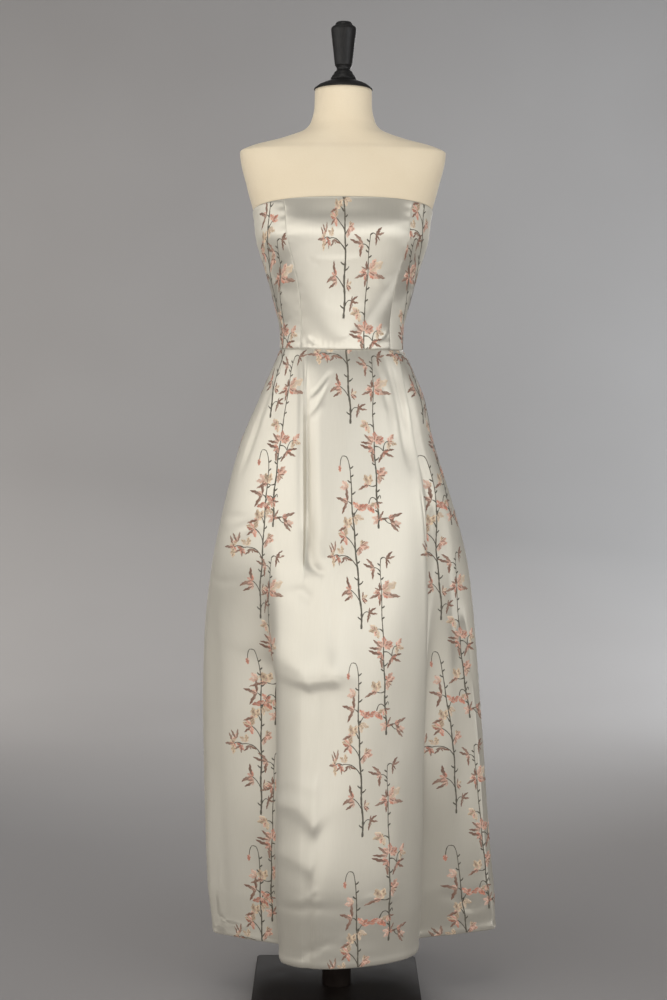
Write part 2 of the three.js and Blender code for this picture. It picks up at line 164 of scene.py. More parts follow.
def skirt_plan(waist_bearing, height):
    """An oval radius times the share that the folds give it, less the pleats' grooves. Both the shares
    and the true bearings are smooth curves over the bearing that the cloth has at the waist."""
    u = np.mod(waist_bearing, 360.0)
    u, height = np.broadcast_arrays(u, height)
    rows = np.array(list(SKIRT_FOLDS.values()), float)
    bearings = np.stack([smooth((HEM, THIGH, WAIST), (r[2], r[1], r[0]), height) for r in rows], -1)
    levels = (HEM, KNEE, THIGH, HIP, WAIST)
    shares = np.stack([smooth(levels, (r[6], r[5], r[4], r[3], 1), height) for r in rows], -1)
    knots = np.concatenate([rows[-2:, 0] - 360, rows[:, 0], rows[:2, 0] + 360])
    turned = np.concatenate([bearings[..., -2:] - 360, bearings, bearings[..., :2] + 360], -1)
    reach = np.concatenate([shares[..., -2:], shares, shares[..., :2]], -1)
    bearing, share = smooth(knots, turned, u), smooth(knots, reach, u)
    right, left, front, back, square = (
        smooth(SKIRT_SECTIONS[:, 0], c, height) for c in SKIRT_SECTIONS[:, 1:].T
    )
    sine, cosine = np.sin(np.radians(bearing)), np.cos(np.radians(bearing))
    across = np.abs(sine) / np.where(sine > 0, left, right)
    deep = np.abs(cosine) / np.where(cosine > 0, front, back)
    radius = (across**square + deep**square) ** (-1 / square) * share
    groove = 0
    for fold, (depth, right_half, left_half, top, foot) in SKIRT_PLEATS.items():
        away = np.radians(bearing - bearings[..., list(SKIRT_FOLDS).index(fold)]) * radius
        part = np.clip(away / np.where(away < 0, right_half, left_half), -1, 1)
        strength = ramp(top - height, 0, PLEAT_OPENING) * ramp(height - foot, 0, PLEAT_CLOSING)
        groove = groove + depth * strength * (1 + np.cos(np.pi * part)) / 2
    return (radius - groove) * sine, -(radius - groove) * cosine


def form_spot(bearing, height):
    level = tilted(height, bearing)
    return np.stack(np.broadcast_arrays(*form_plan(bearing, level), level), -1)


def skirt_spot(waist_bearing, height):
    level = tilted(height, waist_bearing)
    return np.stack(np.broadcast_arrays(*skirt_plan(waist_bearing, height), level), -1)


def framed(spot, u, height):
    """A surface's points and its level normals, which are square to its outline at each height."""
    run = spot(u + 0.05, height) - spot(u - 0.05, height)
    out = np.stack([run[..., 1], -run[..., 0], 0 * run[..., 0]], -1)
    return spot(u, height), out / np.linalg.norm(out, axis=-1, keepdims=True)


# Cloth panels
class Panel:
    """A cut piece of cloth: a surface between two side seams and two heights. Bearings of the seams are
    functions of the height, and base is how far its outside lies from that surface."""

    def __init__(self, name, form, start, end):
        self.name, self.start, self.end = name, start, end
        self.spot, self.low, self.high, self.base = form
        self.skirt = self.low == HEM
        self.levels = np.linspace(self.low, self.high, 60)
        self.seams = [(seam, self.stretch(seam(self.levels), self.levels)) for seam in (start, end)]

    def stretch(self, u, height):
        """Millimetres of cloth for each degree, from two points a degree each side."""
        span = self.spot(u + 1, height) - self.spot(u - 1, height)
        return np.hypot(span[..., 0], span[..., 1]) / 2

    def plain(self, u, height, out):
        """The panel's outside without creases, moved out by a distance."""
        points, normals = framed(self.spot, u, height)
        return points + normals * (self.base + np.asarray(out))[..., None]

    def cloth(self, u, height, *outs):
        """The panel's outside with its creases and puckers, moved out by each of some distances."""
        points, normals = framed(self.spot, u, height)
        rise = self.base + relief(self, u, height)
        return [points + normals * (rise + out)[..., None] for out in outs]


def fixed(bearing):
    """A straight seam, at one bearing."""
    return lambda height: np.full(np.shape(height), float(bearing))


def princess(middle, side):
    """A princess seam: a smooth curve over the height, on one side of a middle bearing."""
    levels, swing = (WAIST, (WAIST + EDGE) / 2, EDGE), (PRINCESS_WAIST, PRINCESS_BUST, PRINCESS_BUST)
    return lambda height: middle + side * smooth(levels, swing, height)


# Panels: surface, lower and upper height and how far out, then the seams of each
BODICE, SKIRT = (form_spot, WAIST, EDGE, EASE + WALL), (skirt_spot, HEM, WAIST, 0.0)
PANELS = {
    name: Panel(name, form, start, end)
    for name, form, start, end in (
        ("bodice_centre_front", BODICE, princess(TURN, -1), princess(TURN, 1)),
        ("bodice_side_front_left", BODICE, princess(TURN, 1), fixed(SIDE_SEAM)),
        ("bodice_back_left", BODICE, fixed(SIDE_SEAM), fixed(BACK_SEAM)),
        ("bodice_back_right", BODICE, fixed(BACK_SEAM), fixed(SIDE_SEAM + 180)),
        ("bodice_side_front_right", BODICE, fixed(SIDE_SEAM + 180), princess(TURN + 360, -1)),
        ("skirt_front", SKIRT, fixed(SIDE_SEAM - 180), fixed(SIDE_SEAM)),
        ("skirt_back_left", SKIRT, fixed(SIDE_SEAM), fixed(BACK_SEAM)),
        ("skirt_back_right", SKIRT, fixed(BACK_SEAM), fixed(SIDE_SEAM + 180)),
    )
}

# Creases by panel: depth, outwards if positive, its width on each side, and its path of bearing and height
CREASES = {
    "bodice_centre_front": [
        (4.6, 20, 34, [(-40, 1399), (-20, 1400), (5, 1401), (28, 1400), (50, 1398)]),
        (-0.7, 7, 9, [(-26, 1350), (-5, 1347), (14, 1352), (34, 1349)]),
        (0.8, 6, 6, [(-24, 1336), (-4, 1332), (16, 1336)]),
        (-0.7, 5, 4, [(-22, 1339), (-17, 1330), (-12, 1324)]),
        (-0.7, 9, 9, [(26, 1334), (33, 1318), (37, 1303)]),
        (0.9, 8, 8, [(20, 1318), (28, 1300), (36, 1288)]),
        (0.6, 4, 4, [(-33, 1212), (-28, 1202), (-20, 1196)]),
        (0.7, 4, 4, [(30, 1200), (38, 1208), (46, 1220)]),
        (-0.5, 6, 6, [(0, 1290), (10, 1272), (26, 1262)]),
        (0.6, 9, 9, [(-20, 1268), (-8, 1252), (6, 1244)]),
    ],
    "bodice_side_front_left": [
        (-0.7, 6, 6, [(50, 1372), (60, 1352), (74, 1342)]),
        (0.9, 7, 7, [(52, 1330), (64, 1308), (84, 1296)]),
        (-0.6, 5, 5, [(58, 1252), (70, 1240), (84, 1240)]),
    ],
    "bodice_side_front_right": [
        (-0.7, 6, 6, [(316, 1368), (306, 1350), (290, 1344)]),
        (0.9, 7, 7, [(318, 1322), (306, 1304), (286, 1298)]),
        (-0.6, 5, 5, [(312, 1246), (300, 1236), (284, 1238)]),
    ],
    "bodice_back_left": [
        (0.8, 9, 9, [(104, 1290), (124, 1268), (150, 1260)]),
        (-0.6, 7, 7, [(110, 1254), (134, 1238), (160, 1236)]),
        (0.7, 7, 7, [(120, 1222), (146, 1212), (172, 1216)]),
        (-0.5, 12, 12, [(118, 1370), (140, 1352), (166, 1352)]),
    ],
    "bodice_back_right": [
        (0.8, 9, 9, [(266, 1286), (244, 1266), (216, 1262)]),
        (-0.6, 7, 7, [(258, 1250), (236, 1236), (206, 1240)]),
        (0.7, 7, 7, [(250, 1220), (226, 1210), (200, 1218)]),
        (-0.5, 12, 12, [(256, 1374), (232, 1356), (204, 1350)]),
    ],
    "skirt_front": [
        (-2.2, 8, 1.4, [(-43, 1184), (-36, 1148), (-34, 1084), (-33.6, 994), (-33.4, 880), (-33, 815)]),
        (1.6, 4, 16, [(-48, 1176), (-40, 1130), (-38, 1050), (-37.5, 950), (-37, 850), (-36, 812)]),
        (-2.4, 8, 4, [(-33.6, 900), (-33.2, 832), (-31, 806), (-25, 793), (-15, 788), (-2, 793)]),
        (1.0, 10, 10, [(-26, 850), (-22, 826), (-15, 812), (-7, 808)]),
        (-1.8, 7, 8, [(-20, 790), (-9, 768), (-4, 690), (-3, 610)]),
        (-1.9, 2.1, 4, [(-35, 1096), (-25, 1112), (-16, 1132), (-8, 1150)]),
        (1.2, 4, 3, [(-33, 1084), (-22, 1104), (-14, 1124), (-6, 1146)]),
        (-2.2, 2.1, 4, [(-37, 1062), (-28, 1076), (-19, 1100), (-7, 1152)]),
        (1.0, 5, 4, [(-35, 1050), (-24, 1066), (-14, 1092)]),
        (3.6, 2.4, 14, [(66, 1240), (60, 1170), (55, 1095), (55, 1005), (53.4, 915), (54, 806), (53.4, 690),
                        (53, 560)]),
        (-3.6, 9, 2.6, [(68.4, 1240), (62.4, 1170), (57.3, 1095), (57.4, 1005), (55.9, 915), (56.4, 806),
                        (55.8, 690)]),
        (-1.6, 2.2, 2.2, [(52.2, 940), (52.6, 880), (53.4, 812)]),
        (-2.4, 9, 4, [(43, 1185), (46, 1100), (48, 1000), (49, 950)]),
        (1.4, 7, 6, [(38, 1184), (41.5, 1100), (44, 1020)]),
        (-1.8, 6, 2.4, [(48.6, 1164), (50, 1090), (51, 1030)]),
        (-1.2, 4, 7, [(31, 1184), (36, 1130), (40, 1070)]),
        (-0.6, 2.4, 5, [(-83, 874), (-70, 880), (-60, 882), (-53, 883)]),
        (0.4, 9, 8, [(-80, 862), (-68, 866), (-58, 868)]),
        (-0.9, 3, 5, [(-60, 850), (-56.5, 868), (-51, 880)]),
        (0.8, 4, 5, [(-58, 846), (-54.5, 860), (-49, 872)]),
        (-0.8, 3, 8, [(-79, 792), (-72, 771), (-62, 764), (-53, 780)]),
        (0.4, 12, 14, [(-80, 768), (-70, 750), (-60, 745), (-52, 752)]),
        (-1.5, 3, 5, [(-47.5, 884), (-44, 838), (-40.5, 792)]),
        (-1.3, 3, 4, [(-44.5, 880), (-41.5, 846), (-39, 816)]),
        (-1.4, 9, 12, [(-37, 768), (-32, 750), (-25, 743)]),
        (8.2, 60, 22, [(-46, 596), (-29, 607), (-12, 611), (16, 617)]),
        (3.0, 90, 45, [(-70, 236), (-30, 242), (0, 242), (30, 238), (62, 236)]),
        (1.1, 17, 11, [(-44, 432), (-33, 421), (-22, 416), (-8, 418)]),
        (3.2, 34, 17, [(-50, 402), (-33, 381), (-19, 357), (-2, 340)]),
        (1.5, 26, 14, [(-50, 310), (-37, 294), (-26, 281), (-10, 272)]),
        (-0.7, 5, 8, [(-42, 196), (-34, 209), (-16, 214), (4, 213), (14, 218)]),
        (0.6, 5, 6, [(-40, 206), (-28, 226), (-12, 222), (4, 232)]),
        (0.5, 4, 4, [(-30, 238), (-22, 232), (-12, 240), (-2, 246)]),
        (0.7, 5, 5, [(14, 214), (20, 226), (27, 222), (36, 226)]),
        (0.7, 7, 10, [(-42, 124), (-34, 116), (-12, 121), (7, 127), (15, 150)]),
        (-0.9, 6, 7, [(-40, 138), (-28, 136), (-6, 140), (8, 160)]),
        (0.5, 6, 7, [(0, 134), (8, 144), (17, 176)]),
        (-0.5, 5, 7, [(24, 470), (30, 440), (34, 400), (36, 360)]),
        (0.5, 9, 9, [(28, 480), (34, 448), (38, 404)]),
        (1.1, 8, 8, [(70, 150), (78, 138), (88, 146)]),
        (-1.6, 8, 8, [(66, 190), (74, 168), (80, 140)]),
        (-1.8, 6, 8, [(76, 1000), (80, 960), (84, 900)]),
        (0.5, 16, 16, [(70, 820), (76, 760), (78, 690)]),
        (1.8, 6, 6, [(-76, 136), (-66, 126), (-57, 130)]),
        (0.6, 14, 14, [(-76, 600), (-66, 580), (-58, 590)]),
        (1.6, 8, 9, [(-62, 1176), (-60, 1110), (-60, 1030)]),
        (-1.4, 6, 8, [(-54, 1180), (-52, 1120), (-52, 1050)]),
    ],
    "skirt_back_left": [
        (-2.2, 1.6, 8, [(146, 1184), (146.3, 1100), (146.7, 1000), (146.8, 880), (147, 812)]),
        (1.6, 16, 4, [(150, 1176), (149.6, 1090), (149.4, 980), (149.4, 850)]),
        (-2.8, 6, 2.6, [(146.8, 890), (147.4, 830), (150, 806), (156, 795), (166, 790)]),
        (-1.6, 2.4, 4, [(149, 1066), (156, 1092), (163, 1122), (170, 1150)]),
        (1.1, 4, 3, [(150, 1054), (158, 1080), (167, 1116)]),
        (-1.4, 2.4, 4, [(148, 1096), (154, 1116), (160, 1146)]),
        (-1.6, 6, 8, [(118, 1180), (119, 1090), (120, 1000), (121, 900)]),
        (1.3, 9, 9, [(112, 1178), (113, 1080), (114, 960)]),
        (-0.9, 3, 6, [(100, 872), (112, 880), (124, 876)]),
        (0.7, 9, 9, [(102, 856), (114, 862), (126, 858)]),
        (2.0, 36, 15, [(134, 588), (146, 602), (160, 600), (174, 590)]),
        (1.4, 28, 13, [(142, 392), (152, 372), (164, 356), (178, 352)]),
        (0.8, 24, 14, [(98, 452), (108, 436), (120, 430)]),
        (-0.9, 5, 8, [(98, 204), (120, 212), (150, 210), (180, 206)]),
        (0.9, 7, 9, [(128, 134), (146, 122), (168, 132)]),
        (0.8, 7, 8, [(98, 142), (108, 128), (120, 136)]),
    ],
    "skirt_back_right": [
        (-2.2, 8, 1.6, [(221, 1184), (220.6, 1100), (219.4, 1000), (219, 880), (218.6, 832)]),
        (1.6, 4, 16, [(217, 1176), (217, 1090), (216.4, 980), (216, 862)]),
        (-2.8, 2.6, 6, [(218.8, 900), (218, 844), (215, 820), (209, 808), (199, 804)]),
        (-1.6, 4, 2.4, [(218, 1060), (211, 1088), (205, 1118), (198, 1150)]),
        (1.1, 3, 4, [(217, 1048), (209, 1076), (201, 1112)]),
        (-1.4, 4, 2.4, [(219, 1092), (213, 1112), (207, 1144)]),
        (-1.6, 8, 6, [(248, 1180), (247, 1090), (246, 1010), (245, 930)]),
        (1.3, 9, 9, [(255, 1178), (254, 1080), (252, 970)]),
        (-0.9, 3, 6, [(246, 880), (256, 884), (268, 872)]),
        (0.7, 9, 9, [(244, 862), (256, 866), (268, 856)]),
        (1.8, 34, 15, [(190, 630), (204, 622), (216, 628), (232, 618)]),
        (1.4, 28, 13, [(190, 404), (202, 392), (214, 378), (230, 380)]),
        (0.8, 24, 14, [(248, 500), (258, 484), (270, 480)]),
        (-0.9, 5, 8, [(190, 206), (214, 212), (244, 208), (272, 204)]),
        (0.9, 7, 9, [(196, 130), (214, 120), (234, 134)]),
        (0.8, 7, 8, [(248, 142), (260, 128), (272, 136)]),
    ],
}
CREASE_STEPS, CREASE_REACH, CREASE_FADE = 40, 2.6, 0.28


def creases(panel, u, height):
    """A sum of bell-shaped ridges and troughs, each falling off with the distance from its path, at its
    own width on either side, and fading at both ends."""
    total = np.zeros(np.shape(u))
    for depth, width_a, width_b, path in CREASES[panel.name]:
        marks = np.array(path, float)
        scale = panel.stretch(*marks.mean(0))
        marks[:, 0] *= scale
        length = np.r_[0, np.cumsum(np.hypot(*np.diff(marks, axis=0).T))]
        steps = np.linspace(0, length[-1], CREASE_STEPS)
        line = np.stack([smooth(length, marks[:, 0], steps), smooth(length, marks[:, 1], steps)], -1)
        room = CREASE_REACH * max(width_a, width_b)
        low, high = line.min(0) - room, line.max(0) + room
        near = (u * scale > low[0]) & (u * scale < high[0]) & (height > low[1]) & (height < high[1])
        spot = np.stack([u[near] * scale, height[near]], -1)[:, None]
        run = np.diff(line, axis=0)
        away = spot - line[:-1]
        share = np.clip((away * run).sum(-1) / (run**2).sum(-1), 0, 1)
        gap = np.hypot(*np.moveaxis(away - share[..., None] * run, -1, 0))
        best = gap.argmin(1)[:, None]
        side = np.take_along_axis(run[:, 0] * away[..., 1] - run[:, 1] * away[..., 0], best, 1)[:, 0]
        along = (best[:, 0] + np.take_along_axis(share, best, 1)[:, 0]) / len(run)
        width = np.where(side > 0, width_a, width_b)
        fade = ramp(along, 0, CREASE_FADE) * ramp(1 - along, 0, CREASE_FADE)
        total[near] += depth * fade * bell(np.take_along_axis(gap, best, 1)[:, 0], width)
    return total


def pucker(along, pitch):
    """An uneven ripple: a sine of the length along a seam, whose pitch and strength wander."""
    wander = 0.55 * np.sin(along / 37) + 0.4 * np.sin(along / 61 + 1)
    return np.sin(2 * np.pi * (along / pitch + wander)) * (0.65 + 0.35 * np.sin(along / 43 + 2))


# Height of the puckers and depth of the groove at a seam, then height of the puckers at the waist
SKIRT_SEWING, BODICE_SEWING = (0.3, 0.55, 0.4), (0.28, 0.3, 0.15)
# Puckers: distance from the line, half width of their band, pitch
SEAM_PUCKERS, WAIST_PUCKERS, HEM_PUCKERS = (6, 9, 19), (5, 9, 13), (62, 12, 21)
WAIST_DEGREE, HEM_DEGREE, HEM_PUCKER = 2.2, 3.8, 0.3
SEAM_HALF, EDGE_HALF, WAIST_GROOVE, EDGE_GROOVE, BODICE_DEEPEST = 1.5, 1.6, 0.6, 0.5, -0.8
# Ridges and grooves along the hem: height, distance above the hem, half width
HEM_RIDGES = ((0.3, 84, 14), (0.7, 7, 6), (-1.0, 0, 2.5))
HEM_TUCK, HEM_BAND = 4.0, 96.0


def puckers(away, along, band):
    """Ripples along a line, strongest at a distance from it and falling off as a bell."""
    middle, half, pitch = band
    return bell(away - middle, half) * pucker(along, pitch)


def relief(panel, u, height):
    """Height of the cloth over its plain form: creases, a groove and puckers at each seam, a soft roll
    at the free edge, and a slow swell over the skirt."""
    u, height = np.broadcast_arrays(np.asarray(u, float), np.asarray(height, float))
    total = creases(panel, u, height)
    seam_pucker, seam_groove, waist_pucker = SKIRT_SEWING if panel.skirt else BODICE_SEWING
    for (seam, stretch), sign in zip(panel.seams, (1, -1)):
        away = sign * (u - seam(height)) * np.interp(height, panel.levels, stretch)
        total += seam_pucker * puckers(away, height + 50 * sign, SEAM_PUCKERS)
        total -= seam_groove * bell(away, SEAM_HALF)
    up, down = height - panel.low, panel.high - height
    waist = down if panel.skirt else up
    total += waist_pucker * puckers(waist, u * WAIST_DEGREE, WAIST_PUCKERS)
    total -= WAIST_GROOVE * bell(waist, EDGE_HALF)
    if not panel.skirt:
        total -= EDGE_GROOVE * bell(down, EDGE_HALF)
        return np.maximum(total, BODICE_DEEPEST)
    swell = 0.7 * np.sin(u / 7.1 + height / 83) + 0.5 * np.sin(u / 4.3 - height / 57)
    total += ramp(waist, 60, 300) * swell
    total += HEM_PUCKER * puckers(up, u * HEM_DEGREE, HEM_PUCKERS)
    total -= HEM_TUCK * ramp(HEM_BAND - up, 0, HEM_BAND)
    return total + sum(rise * bell(up - place, half) for rise, place, half in HEM_RIDGES)


# Woven branches
# Each is drawn from its cut foot at (0, 0), in millimetres across and up the cloth.
HOOKED_STEM = [(0, 0), (1.2, 28), (-0.8, 60), (0.8, 95), (-0.6, 130), (0.5, 165), (-0.8, 200), (0, 235),
               (-1.5, 265), (-4, 281), (-9, 291), (-15, 292), (-19.5, 284), (-21, 273)]
UPRIGHT_STEM = [(0, 0), (0.9, 25), (-1, 55), (0.6, 90), (-0.6, 125), (0.8, 160), (-0.5, 200), (0.6, 240),
                (-0.6, 275), (1, 297)]
# Thorns: height on the stem, side, length
HOOKED_THORNS = [(16, -1, 8), (74, 1, 10), (82, -1, 8), (110, 1, 6), (156, 1, 7), (192, 1, 5), (226, 1, 8),
                 (246, -1, 7), (256, 1, 6), (270, 1, 7)]
UPRIGHT_THORNS = [(28, -1, 6), (62, 1, 7), (108, -1, 7), (116, 1, 9), (126, -1, 8), (196, 1, 5), (214, 1, 6),
                  (262, 1, 6), (270, -1, 6), (286, -1, 6)]
# Twigs: start, middle and end
HOOKED_TWIGS = [((0, 104), (-12, 128), (-34, 122)), ((-34, 122), (-44, 127), (-50, 121)),
                ((0, 132), (-5, 148), (-18, 156)), ((0, 46), (-8, 62), (-17, 66)),
                ((1, 18), (7, 33), (15, 27)), ((0, 186), (5, 197), (10, 202)),
                ((0, 128), (5, 136), (9, 138)), ((-1, 165), (-5, 180), (-13, 174)),
                ((0, 208), (-4, 214), (-9, 214))]
UPRIGHT_TWIGS = [((0, 46), (-11, 62), (-16, 42)), ((0, 50), (8, 62), (6, 51)),
                 ((0, 74), (-8, 69), (-15, 74)), ((0, 140), (10, 142), (16, 132)),
                 ((16, 132), (18, 150), (27, 149)), ((0, 12), (10, 20), (21, 17)),
                 ((12, 17), (16, 8), (24, 8)), ((0, 174), (-5, 181), (-10, 178)),
                 ((0, 274), (-5, 283), (-12, 282)), ((1, 296), (6, 302), (11, 297)),
                 ((0, 92), (3, 94), (6, 92))]
# Tufts of leaves: place, facing in degrees, length of a leaf, number of leaves, tone
HOOKED_TUFTS = [(-50, 122, 205, 17, 6, 0), (-45, 131, 135, 16, 5, 1), (-36, 120, 245, 14, 5, 0),
                (-27, 126, 95, 13, 4, 2), (-21, 121, 265, 13, 4, 3), (-17, 155, 172, 19, 6, 0),
                (-12, 170, 115, 17, 5, 1), (8, 138, -22, 15, 5, 0), (10, 141, 35, 11, 4, 2),
                (-16, 66, 155, 19, 5, 0), (-14, 58, 195, 16, 5, 1), (4, 52, -12, 13, 5, 3),
                (14, 27, -5, 14, 6, 3), (-8, 214, 165, 20, 5, 1), (9, 202, 45, 15, 5, 0),
                (4, 190, -55, 15, 5, 2), (-6, 238, 140, 14, 4, 2), (-21, 276, 266, 17, 1, 0)]
UPRIGHT_TUFTS = [(20, 17, 8, 20, 4, 0), (23, 8, -8, 18, 4, 3), (1, 15, 172, 14, 4, 1),
                 (2, 16, 12, 13, 4, 0), (-16, 40, 255, 16, 5, 0), (-4, 44, -70, 15, 5, 0),
                 (-15, 74, 140, 17, 6, 1), (5, 92, 12, 16, 6, 0), (6, 90, -40, 12, 4, 3),
                 (-3, 136, 215, 20, 5, 0), (-4, 146, 155, 17, 5, 1), (2, 148, 55, 22, 5, 0),
                 (16, 131, -40, 18, 5, 0), (27, 149, -5, 14, 6, 0), (-10, 178, 200, 17, 5, 1),
                 (-2, 238, 218, 18, 4, 0), (3, 240, -10, 27, 4, 0), (-2, 243, 130, 14, 4, 3),
                 (3, 243, 30, 21, 4, 1), (-12, 282, 195, 16, 6, 1), (11, 297, -5, 16, 5, 3)]

# Threads, as linear colours: four tones of leaf, then the vein, the pale edge and the stem
LEAF_TONES = np.array([(0.76, 0.31, 0.21), (0.85, 0.52, 0.39), (0.80, 0.63, 0.43), (0.27, 0.15, 0.10)])
VEIN, PALE_EDGE = np.array((0.20, 0.10, 0.07)), np.array((0.88, 0.75, 0.62))
STEM, STEM_FLECK = np.array((0.105, 0.092, 0.066)), np.array((0.34, 0.30, 0.235))
ACROSS = np.array((-1.0, -0.55, 0.0, 0.55, 1.0))
LIFT = np.array((-0.4, 0.36, 0.5, 0.36, -0.4))
LEAF_STEPS, STEM_STEPS, TWIG_STEPS, THORN_STEPS = 9, 70, 8, 4
LEAF_FAN, LEAF_SIZE, LEAF_SLIM, DARK_SLIM = 34.0, 1.04, 0.6, 0.26
DARK, TONE_PICKS = 3, (0.2, 0.58, 0.76)
BRANCH_TALL, RISING_MARKS, TWIG_MARKS = 1.035, 10, 7
THORN_PATH = np.array([(0, 0), (0.5, 0.2), (0.85, 0.6)])
# Half widths from foot to tip, and how far each goes to the paler fleck
HOOKED_HALF, UPRIGHT_HALF = (2.3, 2.2, 1.9, 1.6, 1.2, 0.8), (2.3, 2.1, 1.6, 1.3, 1.0, 0.8)
THORN_HALF, TWIG_HALF = (1.5, 1.15), (1.25, 0.9)
STEM_PALE, THORN_PALE, TWIG_PALE = 0.9, 0.2, 0.3


def strip(points, half, steps, fleck):
    """A ribbon along smooth curves through points: across each step it runs half a width to both sides,
    thicker at its knots, and its colour goes from the stem's to a paler fleck and back."""
    points = np.asarray(points, float)
    length = np.r_[0, np.cumsum(np.hypot(*np.diff(points, axis=0).T))]
    t = np.linspace(0, length[-1], steps)
    middle = np.stack([smooth(length, points[:, 0], t), smooth(length, points[:, 1], t)], -1)
    run = np.gradient(middle, axis=0)
    run /= np.linalg.norm(run, axis=1, keepdims=True)
    normal = np.stack([run[:, 1], -run[:, 0]], -1)
    half = np.interp(t / length[-1], np.linspace(0, 1, len(half)), half)
    knots = 1 + 0.3 * np.sin(t / 2.1) * np.sin(t / 6.7 + 1)
    spots = middle[:, None] + normal[:, None] * (half * knots)[:, None, None] * ACROSS[None, :, None]
    ripple = 0.5 + 0.5 * np.sin(t / 1.7 + 3 * np.sin(t / 11))
    pale = fleck * ripple[:, None, None] * (ACROSS**2)[None, :, None]
    return spots[None], (STEM + (STEM_FLECK - STEM) * pale)[None]


def leaves(tufts):
    """Petals and pointed leaves in fans: half a leaf's width is a sine over its length, with notches that
    differ on its two sides, and its middle line bends a little. Each takes its tuft's tone or one of its
    neighbours, mottled with pale and dark threads by a product of two sines, paler at the edge."""
    rows = []
    for k, (x, y, facing, size, count, tone) in enumerate(tufts):
        for j in range(count):
            uneven, pick = math.sin(2.4 * k + 1.7 * j), math.sin(5.3 * k + 3.1 * j + tone + 1)
            kind = (tone, 1, 2, DARK)[np.searchsorted(TONE_PICKS, pick, side="right")]
            turn = (j - (count - 1) / 2) * LEAF_FAN + 13 * uneven
            long = LEAF_SIZE * size * (0.78 + 0.32 * math.cos(3.1 * j + k)) * (1.1 if kind == DARK else 1)
            rows.append((x, y, facing + turn, long, kind, uneven))
    x, y, facing, size, tone, uneven = np.array(rows).T[:, :, None]
    t = np.linspace(0, 1, LEAF_STEPS)[None]
    angle = np.radians(facing + 30 * uneven * (t - 0.3))
    step = np.full(t.shape, 1 / (LEAF_STEPS - 1)) * (t > 0)
    px = x + size * np.cumsum(np.cos(angle) * step, 1)
    py = y + size * np.cumsum(np.sin(angle) * step, 1)
    slim = np.where(tone == DARK, DARK_SLIM, LEAF_SLIM)
    notch = 1 + 0.32 * np.cos(5.5 * np.pi * t[..., None] + 2.5 * uneven[..., None] + 1.3 * np.sign(ACROSS))
    half = (size * slim / 2 * np.sin(np.pi * t**0.9) ** 0.65 + 0.3)[..., None] * notch * ACROSS
    turned_x, turned_y = half * np.sin(angle)[..., None], half * np.cos(angle)[..., None]
    spots = np.stack([px[..., None] + turned_x, py[..., None] - turned_y], -1)
    t, uneven, tone, side = t[..., None], uneven[..., None], tone[..., None], ACROSS
    fleck = np.sin(17 * t + 40 * uneven + 2.6 * side) * np.sin(29 * t + 15 * uneven - 4.1 * side)
    edge = 0.4 * (np.abs(side) == 1)
    pale = np.maximum(0.8 * ramp(fleck, 0.1, 0.65), edge) * np.where(tone == DARK, 0.35, 1)
    dark = 0.7 * ramp(-fleck, 0.25, 0.8) + 0.3 * (side == 0) * np.sin(np.pi * t)
    body = LEAF_TONES[tone[..., 0].astype(int)][:, :, None] * (1 + 0.16 * uneven[..., None])
    colour = body + (PALE_EDGE - body) * pale[..., None]
    return spots, colour + (VEIN - colour) * np.clip(dark, 0, 0.85)[..., None]


def branch(stem, thorns, twigs, tufts, half):
    """A branch's patches in one set: places across and up, how far each point is raised, colours, faces."""
    patches = [strip(stem, half, STEM_STEPS, STEM_PALE)]
    upright = np.array(stem[:RISING_MARKS], float)
    for height, side, length in thorns:
        foot = np.interp(height, upright[:, 1], upright[:, 0])
        reach = THORN_PATH * (side * length, length)
        patches.append(strip((foot, height) + reach, THORN_HALF, THORN_STEPS, THORN_PALE))
    for start, middle, end in twigs:
        t = np.linspace(0, 1, TWIG_MARKS)[:, None]
        path = (1 - t) ** 2 * np.array(start) + 2 * t * (1 - t) * np.array(middle) + t**2 * np.array(end)
        patches.append(strip(path, TWIG_HALF, TWIG_STEPS, TWIG_PALE))
    patches.append(leaves(tufts))
    faces, count = [], 0
    for spots, _ in patches:
        at = count + np.arange(spots[..., 0].size).reshape(spots.shape[:3])
        corners = (at[:, :-1, :-1], at[:, :-1, 1:], at[:, 1:, 1:], at[:, 1:, :-1])
        faces.append(np.stack(corners, -1).reshape(-1, 4))
        count += at.size
    places = np.concatenate([spots.reshape(-1, 2) for spots, _ in patches]) * (1, BRANCH_TALL)
    colours = np.concatenate([colour.reshape(-1, 3) for _, colour in patches])
    return places, np.tile(LIFT, len(places) // len(LIFT)), colours, np.concatenate(faces)


BRANCHES = {
    "hooked": branch(HOOKED_STEM, HOOKED_THORNS, HOOKED_TWIGS, HOOKED_TUFTS, HOOKED_HALF),
    "upright": branch(UPRIGHT_STEM, UPRIGHT_THORNS, UPRIGHT_TWIGS, UPRIGHT_TUFTS, UPRIGHT_HALF),
}

